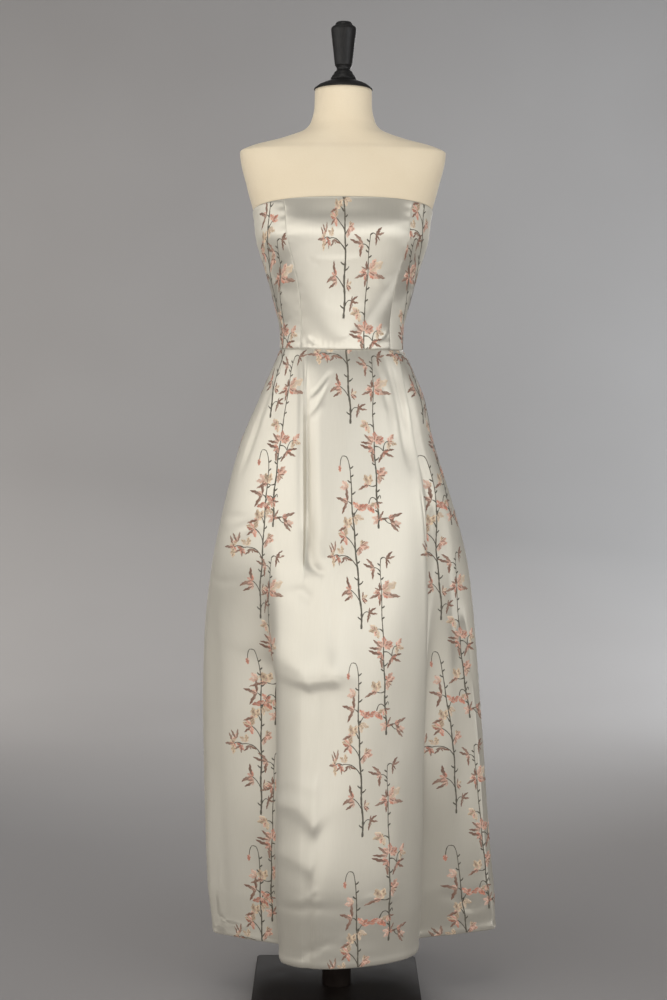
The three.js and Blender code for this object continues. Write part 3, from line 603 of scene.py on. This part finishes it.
# Rows of branches by panel: branch, heights of the feet, and the path of height and bearing they follow
REPEAT = 360.0
HOOKED_FEET = [1052 - REPEAT * k for k in range(4)]
UPRIGHT_FEET = [866 - REPEAT * k for k in range(3)]
BRANCH_ROWS = {
    "skirt_front": [
        ("hooked", HOOKED_FEET,
         [(105, 16), (258, 14.8), (330, 16.5), (570, 14.2), (694, 15.2), (812, 12.5), (951, 9), (1053, 8.2),
          (1182, 4.8)]),
        ("upright", UPRIGHT_FEET,
         [(140, 27.8), (446, 27.5), (506, 27.2), (802, 26), (1041, 26), (1160, 29.2)]),
        ("hooked", [foot + 9 for foot in HOOKED_FEET],
         [(112, -56.2), (339, -55.5), (622, -55), (708, -52), (807, -50), (966, -50.8), (1060, -56),
          (1182, -66.8)]),
        ("upright", UPRIGHT_FEET,
         [(130, -53.6), (369, -52.6), (550, -51.6), (662, -49.5), (790, -46.2), (968, -47.2), (1076, -47),
          (1170, -48.5)]),
        ("hooked", HOOKED_FEET,
         [(105, 76.5), (244, 73.5), (422, 73), (618, 68.5), (729, 67), (858, 64), (968, 65), (1095, 73),
          (1180, 80)]),
        ("upright", UPRIGHT_FEET,
         [(129, 87.2), (296, 85.2), (446, 83.8), (652, 77.4), (783, 74), (894, 74), (975, 80), (1180, 88)]),
    ],
    "skirt_back_left": [
        ("hooked", HOOKED_FEET, [(105, 112), (600, 111), (900, 110), (1180, 110)]),
        ("upright", UPRIGHT_FEET, [(105, 126), (600, 127), (900, 127), (1180, 129)]),
        ("hooked", HOOKED_FEET, [(105, 158), (600, 159), (900, 160), (1180, 163)]),
        ("upright", UPRIGHT_FEET, [(105, 171), (600, 172), (900, 174), (1180, 177)]),
    ],
    "skirt_back_right": [
        ("hooked", HOOKED_FEET, [(105, 203), (600, 204), (900, 205), (1180, 203)]),
        ("upright", UPRIGHT_FEET, [(105, 216), (600, 217), (900, 214), (1180, 214)]),
        ("hooked", HOOKED_FEET, [(105, 248), (600, 250), (900, 251), (1180, 250)]),
        ("upright", UPRIGHT_FEET, [(105, 260), (600, 262), (900, 264), (1180, 266)]),
    ],
    "bodice_centre_front": [
        ("hooked", [1240], [(1187, 1.0), (1286, 1.2), (1364, 0.8), (1440, 0.2)]),
        ("upright", [1066], [(1187, 20), (1287, 17.2), (1349, 14.2), (1440, 10)]),
    ],
    "bodice_side_front_right": [
        ("hooked", [1196], [(1187, 286), (1294, 288), (1366, 303), (1440, 314)]),
        ("upright", [1062], [(1187, 290), (1274, 299), (1330, 312), (1440, 320)]),
    ],
    "bodice_side_front_left": [
        ("hooked", [1262], [(1187, 86), (1272, 84), (1315, 78), (1368, 64), (1440, 58)]),
        ("upright", [1066], [(1187, 84), (1277, 67), (1355, 52), (1440, 48)]),
    ],
    "bodice_back_left": [
        ("hooked", [1240], [(1187, 118), (1440, 122)]),
        ("upright", [1066], [(1187, 136), (1440, 138)]),
        ("hooked", [1140], [(1187, 166), (1440, 164)]),
    ],
    "bodice_back_right": [
        ("hooked", [1240], [(1187, 210), (1440, 208)]),
        ("upright", [1066], [(1187, 228), (1440, 224)]),
        ("hooked", [1140], [(1187, 256), (1440, 252)]),
    ],
}
CUT_MARGIN = 1.2


def woven(panel):
    """All the branches on a panel, as points, faces and colours. Places across and up become a bearing and
    a height, are cut at the panel's seams, and lie on the cloth, raised in the middle of each patch."""
    bearings, heights, lifts, colours, faces, count = [], [], [], [], [], 0
    for kind, feet, path in BRANCH_ROWS[panel.name]:
        places, lift, colour, quads = BRANCHES[kind]
        marks = np.array(path, float)
        height = np.array(feet)[:, None] + places[None, :, 1]
        middle = smooth(marks[:, 0], marks[:, 1], height)
        scale = panel.stretch(middle, np.clip(height, panel.low, panel.high))
        bearings.append((middle + places[None, :, 0] / scale).ravel())
        heights.append(height.ravel())
        lifts.append(np.tile(lift, len(feet)))
        colours.append(np.tile(colour, (len(feet), 1)))
        faces.append((count + len(places) * np.arange(len(feet))[:, None, None] + quads).reshape(-1, 4))
        count += height.size
    u, height, lift = (np.concatenate(a) for a in (bearings, heights, lifts))
    faces, colours = np.concatenate(faces), np.concatenate(colours)
    level = np.clip(height, panel.low + CUT_MARGIN, panel.high - CUT_MARGIN)
    start, end = panel.start(level), panel.end(level)
    cut = CUT_MARGIN / panel.stretch((start + end) / 2, level)
    bearing = np.clip(u, start + cut, end - cut)
    kept = (level == height) & (bearing == u)
    faces = faces[kept[faces].any(1)]
    used, faces = np.unique(faces, return_inverse=True)
    return panel.cloth(bearing[used], level[used], lift[used])[0], faces.reshape(-1, 4), colours[used]


# Meshes
def make_mesh(name, points, faces, material, smooth_faces=True):
    """A mesh object at the origin from points in millimetres and lists of faces, smooth where told."""
    mesh = bpy.data.meshes.new(name)
    mesh.from_pydata((points * METRE).tolist(), [], faces)
    mesh.polygons.foreach_set("use_smooth", np.ones(len(faces), bool) & smooth_faces)
    mesh.materials.append(material)
    mesh.update()
    made = bpy.data.objects.new(name, mesh)
    bpy.context.scene.collection.objects.link(made)
    return made


def make_piece(name, points, faces, material, smooth_faces=True, uv=None, colour=None):
    """A mesh that rides on the part, with a map of its cloth or a thread colour for each point if given."""
    piece = make_mesh(name, points, faces.tolist(), material, smooth_faces)
    if uv is not None:
        layer = piece.data.uv_layers.new(name="Cloth")
        layer.data.foreach_set("uv", (uv[faces.ravel()] * METRE).ravel())
    if colour is not None:
        layer = piece.data.color_attributes.new(name="Thread", type="FLOAT_COLOR", domain="POINT")
        layer.data.foreach_set("color", np.c_[colour, np.ones(len(colour))].ravel())
    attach(piece, "root")
    return piece


def grid_faces(rows, columns, first=0):
    """Quads of a grid of points, seen with its columns to the right and its rows upwards."""
    at = first + np.arange(rows * columns).reshape(rows, columns)
    return np.stack([at[:-1, :-1], at[:-1, 1:], at[1:, 1:], at[1:, :-1]], -1).reshape(-1, 4)


def shell(outside, inside):
    """A closed sheet between two grids: both sides, with the inner one turned round, and a rim that joins
    their borders. The map lays each row and column out at its length along the cloth."""
    rows, columns = outside.shape[:2]
    count = rows * columns
    at = np.arange(count).reshape(rows, columns)
    border = np.r_[at[0, :-1], at[:-1, -1], at[-1, :0:-1], at[:0:-1, 0]]
    beyond = np.roll(border, -1)
    rim = np.stack([beyond, border, border + count, beyond + count], -1)
    faces = np.concatenate([grid_faces(rows, columns), grid_faces(rows, columns, count)[:, ::-1], rim])
    smooth_faces = np.arange(len(faces)) < len(faces) - len(rim)
    across = np.cumsum(np.linalg.norm(np.diff(outside, axis=1, prepend=outside[:, :1]), axis=2), 1)
    up = np.cumsum(np.linalg.norm(np.diff(outside, axis=0, prepend=outside[:1]), axis=2), 0)
    uv = np.stack([across - across[:, columns // 2, None], up], -1).reshape(-1, 2)
    points = np.concatenate([outside.reshape(-1, 3), inside.reshape(-1, 3)])
    return points, faces, smooth_faces, np.concatenate([uv, uv])


DENSITY_STEPS = 6000


def crowded(start, end, count, lines, width):
    """Values from start to end whose steps are closer round some lines: the inverse of a running sum of
    one plus a bell for each line, as high as the line's own strength."""
    x = np.linspace(start, end, DENSITY_STEPS)
    density = 1 + sum(strength * bell(x - line, width) for line, strength in lines)
    total = np.r_[0, np.cumsum((density[1:] + density[:-1]) / 2)]
    return np.interp(np.linspace(0, total[-1], count), total, x)


# Bearings of the sharp folds, which have closer columns, and how much closer
SHARP_FOLDS = {
    "skirt_front": ((-33.3, 10), (54, 6), (57, 4)),
    "skirt_back_left": ((146.7, 10),),
    "skirt_back_right": ((219.6, 10),),
}
# How much closer rows and columns are at the edges, and how wide that band is
EDGE_ROWS, EDGE_COLUMNS, ROW_BAND, COLUMN_BAND = 1.6, 3, 12, 0.012


def sewn(panel, rows, columns):
    """A panel's shell, half a seam's gap inside its seams, with closer rows and columns at its edges and
    at its sharp folds."""
    high = panel.high - (SEAM_GAP / 2 if panel.skirt else 0)
    low = panel.low + (0 if panel.skirt else SEAM_GAP / 2)
    heights = crowded(low, high, rows, ((low, EDGE_ROWS), (high, EDGE_ROWS)), ROW_BAND)[:, None]
    start, end = panel.start(heights), panel.end(heights)
    gap = SEAM_GAP / 2 / panel.stretch((start + end) / 2, heights)
    first, last = float(start[0, 0]), float(end[0, 0])
    sharp = SHARP_FOLDS.get(panel.name, ())
    folds = [((bearing - first) / (last - first), strength) for bearing, strength in sharp]
    share = crowded(0, 1, columns, [(0, EDGE_COLUMNS), (1, EDGE_COLUMNS), *folds], COLUMN_BAND)
    u = start + gap + (end - start - 2 * gap) * share[None, :]
    heights = np.broadcast_to(heights, u.shape)
    return shell(*panel.cloth(u, heights, 0, -CLOTH))


# Finishes
class Socket:
    """A shader value, on which Python's operators add Math nodes."""

    def __init__(self, finish, socket):
        self.finish, self.socket = finish, socket

    def maths(self, operation, first, second):
        return self.finish.node("ShaderNodeMath", {"operation": operation}, {0: first, 1: second})

    def __add__(self, other):
        return self.maths("ADD", self, other)

    def __mul__(self, other):
        return self.maths("MULTIPLY", self, other)

    __radd__, __rmul__ = __add__, __mul__


class Finish:
    """A material under construction. node() adds any node: its type, its settings, its sockets."""

    def __init__(self, name):
        self.material = bpy.data.materials.new(name)
        self.material.use_nodes = True
        self.tree = self.material.node_tree
        self.tree.nodes.clear()

    def node(self, kind, settings=None, sockets=None, out=0):
        made = self.tree.nodes.new(kind)
        for key, value in (settings or {}).items():
            setattr(made, key, value)
        for key, value in (sockets or {}).items():
            if isinstance(value, Socket):
                self.tree.links.new(value.socket, made.inputs[key])
            else:
                made.inputs[key].default_value = value
        return Socket(self, made.outputs[out]) if made.outputs else None

    def place(self):
        """Object coordinates, in the part's own frame."""
        return self.node("ShaderNodeTexCoord", out=3)

    def noise(self, where, scale, detail):
        return self.node("ShaderNodeTexNoise", {}, {"Vector": where, "Scale": scale, "Detail": detail})

    def scaled(self, where, factors):
        return self.node("ShaderNodeVectorMath", {"operation": "MULTIPLY"}, {0: where, 1: factors})

    def mix(self, share, first, second):
        settings = {"data_type": "RGBA", "clamp_factor": True}
        return self.node("ShaderNodeMix", settings, {0: share, 6: first, 7: second}, out=2)

    def spread(self, value, low, high):
        """A value's range from low to high, brought to 0 to 1."""
        sockets = {"Value": value, "From Min": low, "From Max": high}
        return self.node("ShaderNodeMapRange", {}, sockets)

    def surface(self, bump, strength, distance, **sockets):
        """The shader, with a bump from a height, and the material's output."""
        normal = self.node("ShaderNodeBump", {}, {"Height": bump, "Strength": strength, "Distance": distance})
        named = {key.replace("_", " "): value for key, value in sockets.items()}
        shader = self.node("ShaderNodeBsdfPrincipled", {}, {**named, "Normal": normal})
        self.node("ShaderNodeOutputMaterial", {}, {"Surface": shader})
        return self.material


def satin():
    """Heavy satin: a bright face of long threads up the cloth, with a slow drift of tone."""
    f = Finish("satin")
    cloth = f.node("ShaderNodeUVMap", {"uv_map": "Cloth"})
    place = f.place()
    threads = f.noise(f.scaled(cloth, (2600.0, 260.0, 1.0)), 1.0, 1.0)
    slubs = f.noise(f.scaled(cloth, (420.0, 26.0, 1.0)), 1.0, 2.0)
    drift = f.noise(place, 5.0, 2.0)
    crimp = f.noise(cloth, 85.0, 3.0)
    tone = f.spread(slubs * 0.25 + drift * 0.75, 0.3, 0.7)
    colour = f.mix(tone, (0.63, 0.59, 0.50, 1), (0.69, 0.65, 0.56, 1))
    rough = 0.42 + slubs * 0.03 + threads * 0.05
    return f.surface(threads * 0.25 + crimp * 0.75, 0.25, 0.0005, Base_Color=colour, Roughness=rough,
                     Metallic=0.6, Anisotropic=0.86, Sheen_Weight=0.08, Sheen_Roughness=0.4)


def brocade():
    """Floated silk threads in the leaves' and stems' own colours, with a fine broken twill, and a painted
    shade that darkens the colour where the floats' bump is low.
    """
    f = Finish("brocade")
    thread = f.node("ShaderNodeAttribute", {"attribute_name": "Thread"})
    place = f.place()
    floats = f.noise(f.scaled(place, (420.0, 420.0, 1700.0)), 1.0, 2.0)
    # Painted shade: the thread colour is multiplied darker where the floats' bump is low, between the floats.
    shade = f.spread(floats, 0.3, 0.7)
    dark = f.node("ShaderNodeMix", {"data_type": "RGBA", "blend_type": "MULTIPLY"},
                  {0: 1.0, 6: thread, 7: (0.8, 0.78, 0.77, 1)}, out=2)
    colour = f.mix(shade, dark, thread)
    return f.surface(floats, 0.5, 0.0005, Base_Color=colour, Roughness=0.5 + floats * 0.15, Sheen_Weight=0.1)


def form_cover():
    """Cream cotton over padding: a plain weave, with a slow drift of tone."""
    f = Finish("form_cover")
    place = f.place()
    weft = f.noise(f.scaled(place, (300.0, 300.0, 1900.0)), 1.0, 1.0)
    warp = f.noise(f.scaled(place, (1900.0, 1900.0, 300.0)), 1.0, 1.0)
    drift = f.noise(place, 7.0, 3.0)
    tone = f.spread(drift * 0.6 + weft * 0.2 + warp * 0.2, 0.35, 0.65)
    colour = f.mix(tone, (0.79, 0.665, 0.475, 1), (0.86, 0.745, 0.56, 1))
    rough = 0.78 + weft * 0.12
    return f.surface(weft + warp, 0.3, 0.0005, Base_Color=colour, Roughness=rough, Sheen_Weight=0.2)


def black_wood():
    """Turned wood under black lacquer: a faint grain up its length and an uneven gloss."""
    f = Finish("black_wood")
    place = f.place()
    grain = f.noise(f.scaled(place, (500.0, 500.0, 45.0)), 1.0, 3.0)
    wear = f.noise(place, 60.0, 3.0)
    colour = f.mix(f.spread(grain, 0.35, 0.7), (0.006, 0.006, 0.006, 1), (0.016, 0.014, 0.013, 1))
    rough = 0.36 + wear * 0.16
    return f.surface(grain, 0.15, 0.0004, Base_Color=colour, Roughness=rough, Specular_IOR_Level=0.28)


def dark_metal():
    """Brown-black paint on steel, half gloss, with a fine orange-peel and a little dust."""
    f = Finish("dark_metal")
    place = f.place()
    peel = f.noise(place, 900.0, 2.0)
    dust = f.noise(place, 24.0, 4.0)
    colour = f.mix(f.spread(dust, 0.4, 0.75), (0.013, 0.009, 0.0075, 1), (0.026, 0.020, 0.016, 1))
    rough = 0.44 + dust * 0.2
    return f.surface(peel, 0.2, 0.0003, Base_Color=colour, Roughness=rough, Specular_IOR_Level=0.14)


def studio_sheet():
    """Plain matt paper for the floor and the backdrop."""
    f = Finish("studio_sheet")
    place = f.place()
    drift = f.noise(place, 0.8, 2.0)
    colour = f.mix(f.spread(drift, 0.3, 0.7), (0.315, 0.299, 0.293, 1), (0.34, 0.325, 0.32, 1))
    return f.surface(drift, 0.05, 0.001, Base_Color=colour, Roughness=0.9)


SATIN, BROCADE, COVER = satin(), brocade(), form_cover()
WOOD, METAL, PAPER = black_wood(), dark_metal(), studio_sheet()

# Gown: rows and columns of each shell, and its cut: width, length, flat area and how it is held
CUTS = {
    "bodice_centre_front": (110, 100, 0.245, 0.285, 0.056, "stretched"),
    "bodice_side_front_left": (96, 56, 0.135, 0.275, 0.0295, "stretched"),
    "bodice_side_front_right": (96, 56, 0.135, 0.275, 0.0285, "stretched"),
    "bodice_back_left": (90, 74, 0.205, 0.262, 0.0475, "stretched"),
    "bodice_back_right": (90, 74, 0.205, 0.262, 0.046, "stretched"),
    "skirt_front": (206, 232, 0.86, 1.115, 0.73, "hung"),
    "skirt_back_left": (190, 114, 0.48, 1.115, 0.37, "hung"),
    "skirt_back_right": (190, 114, 0.48, 1.115, 0.36, "hung"),
}
for name, (rows, columns, width, length, area, held) in CUTS.items():
    panel = PANELS[name]
    points, faces, smooth_faces, uv = sewn(panel, rows, columns)
    piece = make_piece("cloth_" + name, points, faces, SATIN, smooth_faces, uv)
    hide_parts(name)
    points, faces, colour = woven(panel)
    branches = make_piece("branches_" + name, points, faces, BROCADE, colour=colour)


# Zip's lap at the centre back
LAP_ROWS, LAP_COLUMNS, LAP_CLOTH = 90, 15, 1.0
LAP_CROWN, LAP_PUCKER, LAP_PITCH = 0.35, 0.12, 15
STITCH_ROWS, STITCH_COLUMNS, STITCH_PITCH, STITCH_INSET = 6, 5, 4.2, 4
STITCH_LONG, STITCH_ARCH, STITCH_WIDE = 1.3, 1.35, 0.35
STITCH_CLEAR, STITCH_RISE, STITCH_THREAD = 0.15, 0.4, (0.50, 0.48, 0.43)


def lap(panel, heights):
    """A strip over the centre back seam: a grid across the seam, moved out from the panel's plain form."""
    heights = heights[:, None]
    degree = panel.stretch(np.full(heights.shape, BACK_SEAM), heights)
    across = np.linspace(-LAP_UNDER, LAP_OVER, LAP_COLUMNS)[None, :]
    u = BACK_SEAM + across / degree
    level = np.broadcast_to(heights, u.shape)
    crown = LAP_CROWN * np.sin(np.pi * (across + LAP_UNDER) / (LAP_OVER + LAP_UNDER))
    out = SEAM_GAP + LAP_WALL + crown + LAP_PUCKER * pucker(level, LAP_PITCH)
    return shell(panel.plain(u, level, out), panel.plain(u, level, out - LAP_CLOTH))


def stitches(panel, low, high, across):
    """A row of short stitches: each is a small arched patch, longer than wide, on the lap near its edge."""
    middle = np.arange(low + 4, high - 3, STITCH_PITCH)[:, None, None]
    along = np.linspace(-STITCH_LONG, STITCH_LONG, STITCH_ROWS)[None, :, None]
    wide = np.linspace(-1, 1, STITCH_COLUMNS)[None, None, :]
    level = middle + along + 0 * wide
    arch = np.sqrt(np.clip(1 - (along / STITCH_ARCH) ** 2, 0, 1)) * (1 - wide**2)
    side = across + STITCH_WIDE * wide + 0 * along
    u = BACK_SEAM + side / panel.stretch(np.full(level.shape, BACK_SEAM), level)
    points = panel.plain(u, level, SEAM_GAP + LAP_WALL + STITCH_CLEAR + STITCH_RISE * arch)
    first = np.arange(len(middle))[:, None, None] * STITCH_ROWS * STITCH_COLUMNS
    faces = (first + grid_faces(STITCH_ROWS, STITCH_COLUMNS)[None]).reshape(-1, 4)
    return points.reshape(-1, 3), faces


LAPS = {
    "zip_lap_bodice": ("bodice_back_right", WAIST + 0.15, EDGE, 0.018, 0.256),
    "zip_lap_skirt": ("skirt_back_right", LAP_FOOT + 4, WAIST - 0.15, 0.018, 0.186),
}
for name, (panel_name, low, high, width, length) in LAPS.items():
    panel = PANELS[panel_name]
    points, faces, smooth_faces, uv = lap(panel, np.linspace(low, high, LAP_ROWS))
    piece = make_piece("cloth_" + name, points, faces, SATIN, smooth_faces, uv)
    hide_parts(name)
    points, faces = stitches(panel, low, high, LAP_OVER - STITCH_INSET)
    colour = np.tile(STITCH_THREAD, (len(points), 1))
    row = make_piece("stitches_" + name, points, faces, BROCADE, colour=colour)


# Form and stand
TORSO_SIDES, TURNED_SIDES, TURNED_STEPS, PLATE_SIDES = 150, 112, 5, 160
PLATE_SIDE, PLATE_THICK, PLATE_CORNER, PLATE_BEVEL = 308, 10, 9, 1.6
SLOPE_LOW, SLOPE_HIGH = 1540, 1600


def closed_tube(rings):
    """Rings of points from the bottom up, joined round and closed at both ends by fans to their middles."""
    rows, columns = rings.shape[:2]
    at = np.arange(rows * columns).reshape(rows, columns)
    beyond = np.roll(at, -1, axis=1)
    walls = np.stack([at[:-1], beyond[:-1], beyond[1:], at[1:]], -1).reshape(-1, 4)
    foot, top = rows * columns, rows * columns + 1
    low = np.stack([beyond[0], at[0], np.full(columns, foot)], -1)
    high = np.stack([at[-1], beyond[-1], np.full(columns, top)], -1)
    points = np.concatenate([rings.reshape(-1, 3), rings[[0, -1]].mean(1)])
    return points, walls, np.concatenate([low, high])


def make_solid(name, rings, material, node):
    """A closed tube as a piece that stands for its node, with its end fans shaded flat."""
    points, walls, fans = closed_tube(rings)
    faces = walls.tolist() + fans.tolist()
    piece = make_mesh(name, points, faces, material, np.arange(len(faces)) < len(walls))
    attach(piece, "root")
    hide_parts(node)


def turned(profile):
    """A profile of radius and height, with points added along each straight piece, carried round."""
    profile = np.array(profile, float)
    t = np.linspace(0, len(profile) - 1, (len(profile) - 1) * TURNED_STEPS + 1)
    radius = np.interp(t, np.arange(len(profile)), profile[:, 0])[:, None]
    height = np.interp(t, np.arange(len(profile)), profile[:, 1])[:, None]
    angle = np.linspace(0, 2 * np.pi, TURNED_SIDES, endpoint=False)[None, :]
    return np.stack(np.broadcast_arrays(radius * np.sin(angle), -radius * np.cos(angle), height), -1)


def plate(side, thick, corner, bevel):
    """A square with rounded corners: an outline of four arcs, carried up a profile with bevelled edges."""
    angle = np.linspace(0, 2 * np.pi, PLATE_SIDES, endpoint=False)
    turn = np.floor(angle / (np.pi / 2)) * np.pi / 2 + np.pi / 4
    arc = np.stack([np.sin(angle), -np.cos(angle)], -1)
    middle = np.sign(np.stack([np.sin(turn), -np.cos(turn)], -1)) * (side / 2 - corner)
    inset = np.array((bevel, bevel * 0.3, 0, 0, bevel * 0.3, bevel))[:, None, None]
    height = np.array((0, bevel * 0.3, bevel, thick - bevel, thick - bevel * 0.3, thick))
    outline = middle[None] + arc[None] * (corner - inset)
    return np.concatenate([outline, np.broadcast_to(height[:, None, None], outline.shape[:2] + (1,))], -1)


form_heights = np.unique(np.r_[
    np.linspace(FORM_FOOT, SLOPE_LOW, 92),
    np.linspace(SLOPE_LOW, SLOPE_HIGH, 40),
    np.linspace(SLOPE_HIGH, NECK, 16),
])
form_rings = form_spot(np.linspace(0, 360, TORSO_SIDES, endpoint=False)[None, :], form_heights[:, None])
make_solid("covered_torso", form_rings, COVER, "form_torso")
CAP = [(53.2, 1670.3), (54.3, 1670.7), (54.7, 1671.5), (54.3, 1672.6), (52.6, 1674.3), (48, 1678),
       (43, 1680.8), (38, 1683), (32.5, 1685.4), (28, 1687), (25.5, 1688.2), (24.5, 1688.6)]
FINIAL = [(23.6, 1688.9), (24.1, 1689.5), (24.1, 1691.2), (22.8, 1694), (21, 1697), (18.6, 1699.8),
          (17.7, 1701.4), (17.3, 1703.4), (15.2, 1705), (13.4, 1706.8), (12.5, 1709.2), (13, 1711.6),
          (14.2, 1714), (16, 1716.4), (16.9, 1722), (22, 1766), (23.3, 1777), (23.8, 1782.6),
          (23.4, 1785.6), (21.8, 1787.6), (19.2, 1789), (16.9, 1791), (15.4, 1794), (14, 1796.1),
          (11.6, 1797)]
make_solid("neck_cap", turned(CAP), WOOD, "form_neck_cap")
make_solid("finial", turned(FINIAL), WOOD, "form_finial")
POLE = [(25.3, 10.3), (26.5, 11.5), (26.5, 300), (26.5, 640), (26.5, 928.5), (25.3, 929.7)]
make_solid("pole", turned(POLE), METAL, "stand_pole")
base = plate(PLATE_SIDE, PLATE_THICK, PLATE_CORNER, PLATE_BEVEL)
make_solid("base_plate", base, METAL, "stand_base")


# Studio
def backdrop():
    """One sheet: flat on the floor, a quarter circle, then straight up behind, the same across its width."""
    turn = np.linspace(0, np.pi / 2, 24)
    y = np.r_[-8000, -3000, 0, 2800 + 2400 * np.sin(turn), 5200]
    z = np.r_[0, 0, 0, 2400 - 2400 * np.cos(turn), 7000]
    x = np.linspace(-8000, 8000, 9)
    points = np.stack(np.broadcast_arrays(x[None, :], y[:, None], z[:, None]), -1)
    faces = grid_faces(len(y), len(x)).tolist()
    sheet = make_mesh("backdrop", points.reshape(-1, 3), faces, PAPER)


def softbox(name, place, aim, size, power, colour):
    """An area lamp at a place, turned towards an aim and hidden from the camera."""
    light = bpy.data.lights.new(name, "AREA")
    light.shape, light.size, light.size_y = "RECTANGLE", size[0], size[1]
    light.energy, light.color = power, colour
    lamp = bpy.data.objects.new(name, light)
    lamp.location, lamp.visible_camera = place, False
    direction = np.subtract(aim, place)
    level = math.hypot(direction[0], direction[1])
    lamp.rotation_euler = (math.atan2(level, -direction[2]), 0, math.atan2(-direction[0], direction[1]))
    bpy.context.scene.collection.objects.link(lamp)


backdrop()
softbox("key", (-2.3, -1.9, 1.7), (0, 0, 1.1), (2.5, 1.7), 19, (1, 0.985, 0.955))
softbox("fill", (1.9, -2.2, 1.9), (0, 0, 1.2), (1.3, 1.2), 6, (0.97, 0.985, 1))
softbox("front", (-0.5, -4.6, 0.95), (0, 0, 1.0), (6.0, 1.9), 58, (1, 0.99, 0.965))
softbox("low", (-0.1, -3.0, 0.03), (-0.1, -3.0, 2.0), (3.0, 3.6), 50, (1, 0.99, 0.965))
softbox("top", (-0.3, -0.9, 3.7), (0, 0, 1.5), (1.2, 1.0), 9, (1, 0.985, 0.95))
softbox("side_left", (-3.0, -0.9, 2.0), (0, -0.3, 1.4), (3.8, 1.6), 19, (1, 0.985, 0.955))
softbox("side_right", (2.9, -2.3, 1.4), (0, 0, 1.0), (2.4, 1.9), 35, (0.97, 0.985, 1))
softbox("back", (0.7, 3.6, 2.4), (0, 0, 1.0), (2.4, 1.6), 45, (1, 0.99, 0.98))
softbox("wall_left", (-2.6, 2.2, 1.5), (-0.6, 5.2, 1.6), (0.8, 1.4), 48, (1, 0.965, 0.90))
softbox("wall_right", (2.6, 2.2, 1.5), (0.6, 5.2, 1.6), (0.8, 1.4), 84, (0.88, 0.95, 1))
world = bpy.data.worlds.new("studio")
world.use_nodes = True
ambient = world.node_tree.nodes["Background"]
ambient.inputs["Color"].default_value = (0.5, 0.5, 0.505, 1)
ambient.inputs["Strength"].default_value = 0.4
bpy.context.scene.world = world
bpy.context.scene.view_settings.view_transform = "Standard"

# Camera: level, at 1.057 m, with the horizon above the middle of the frame and a slight roll
LENS, SENSOR, SHIFT = 57.1, 36.0, -0.08
EYE, ROLL = (-0.0136, -2.95, 1.057), math.radians(0.447)
camera = bpy.data.objects.new("camera", bpy.data.cameras.new("camera"))
camera.data.lens, camera.data.sensor_width, camera.data.shift_y = LENS, SENSOR, SHIFT
camera.location, camera.rotation_euler = EYE, (math.pi / 2, -ROLL, 0)
bpy.context.scene.collection.objects.link(camera)
bpy.context.scene.camera = camera
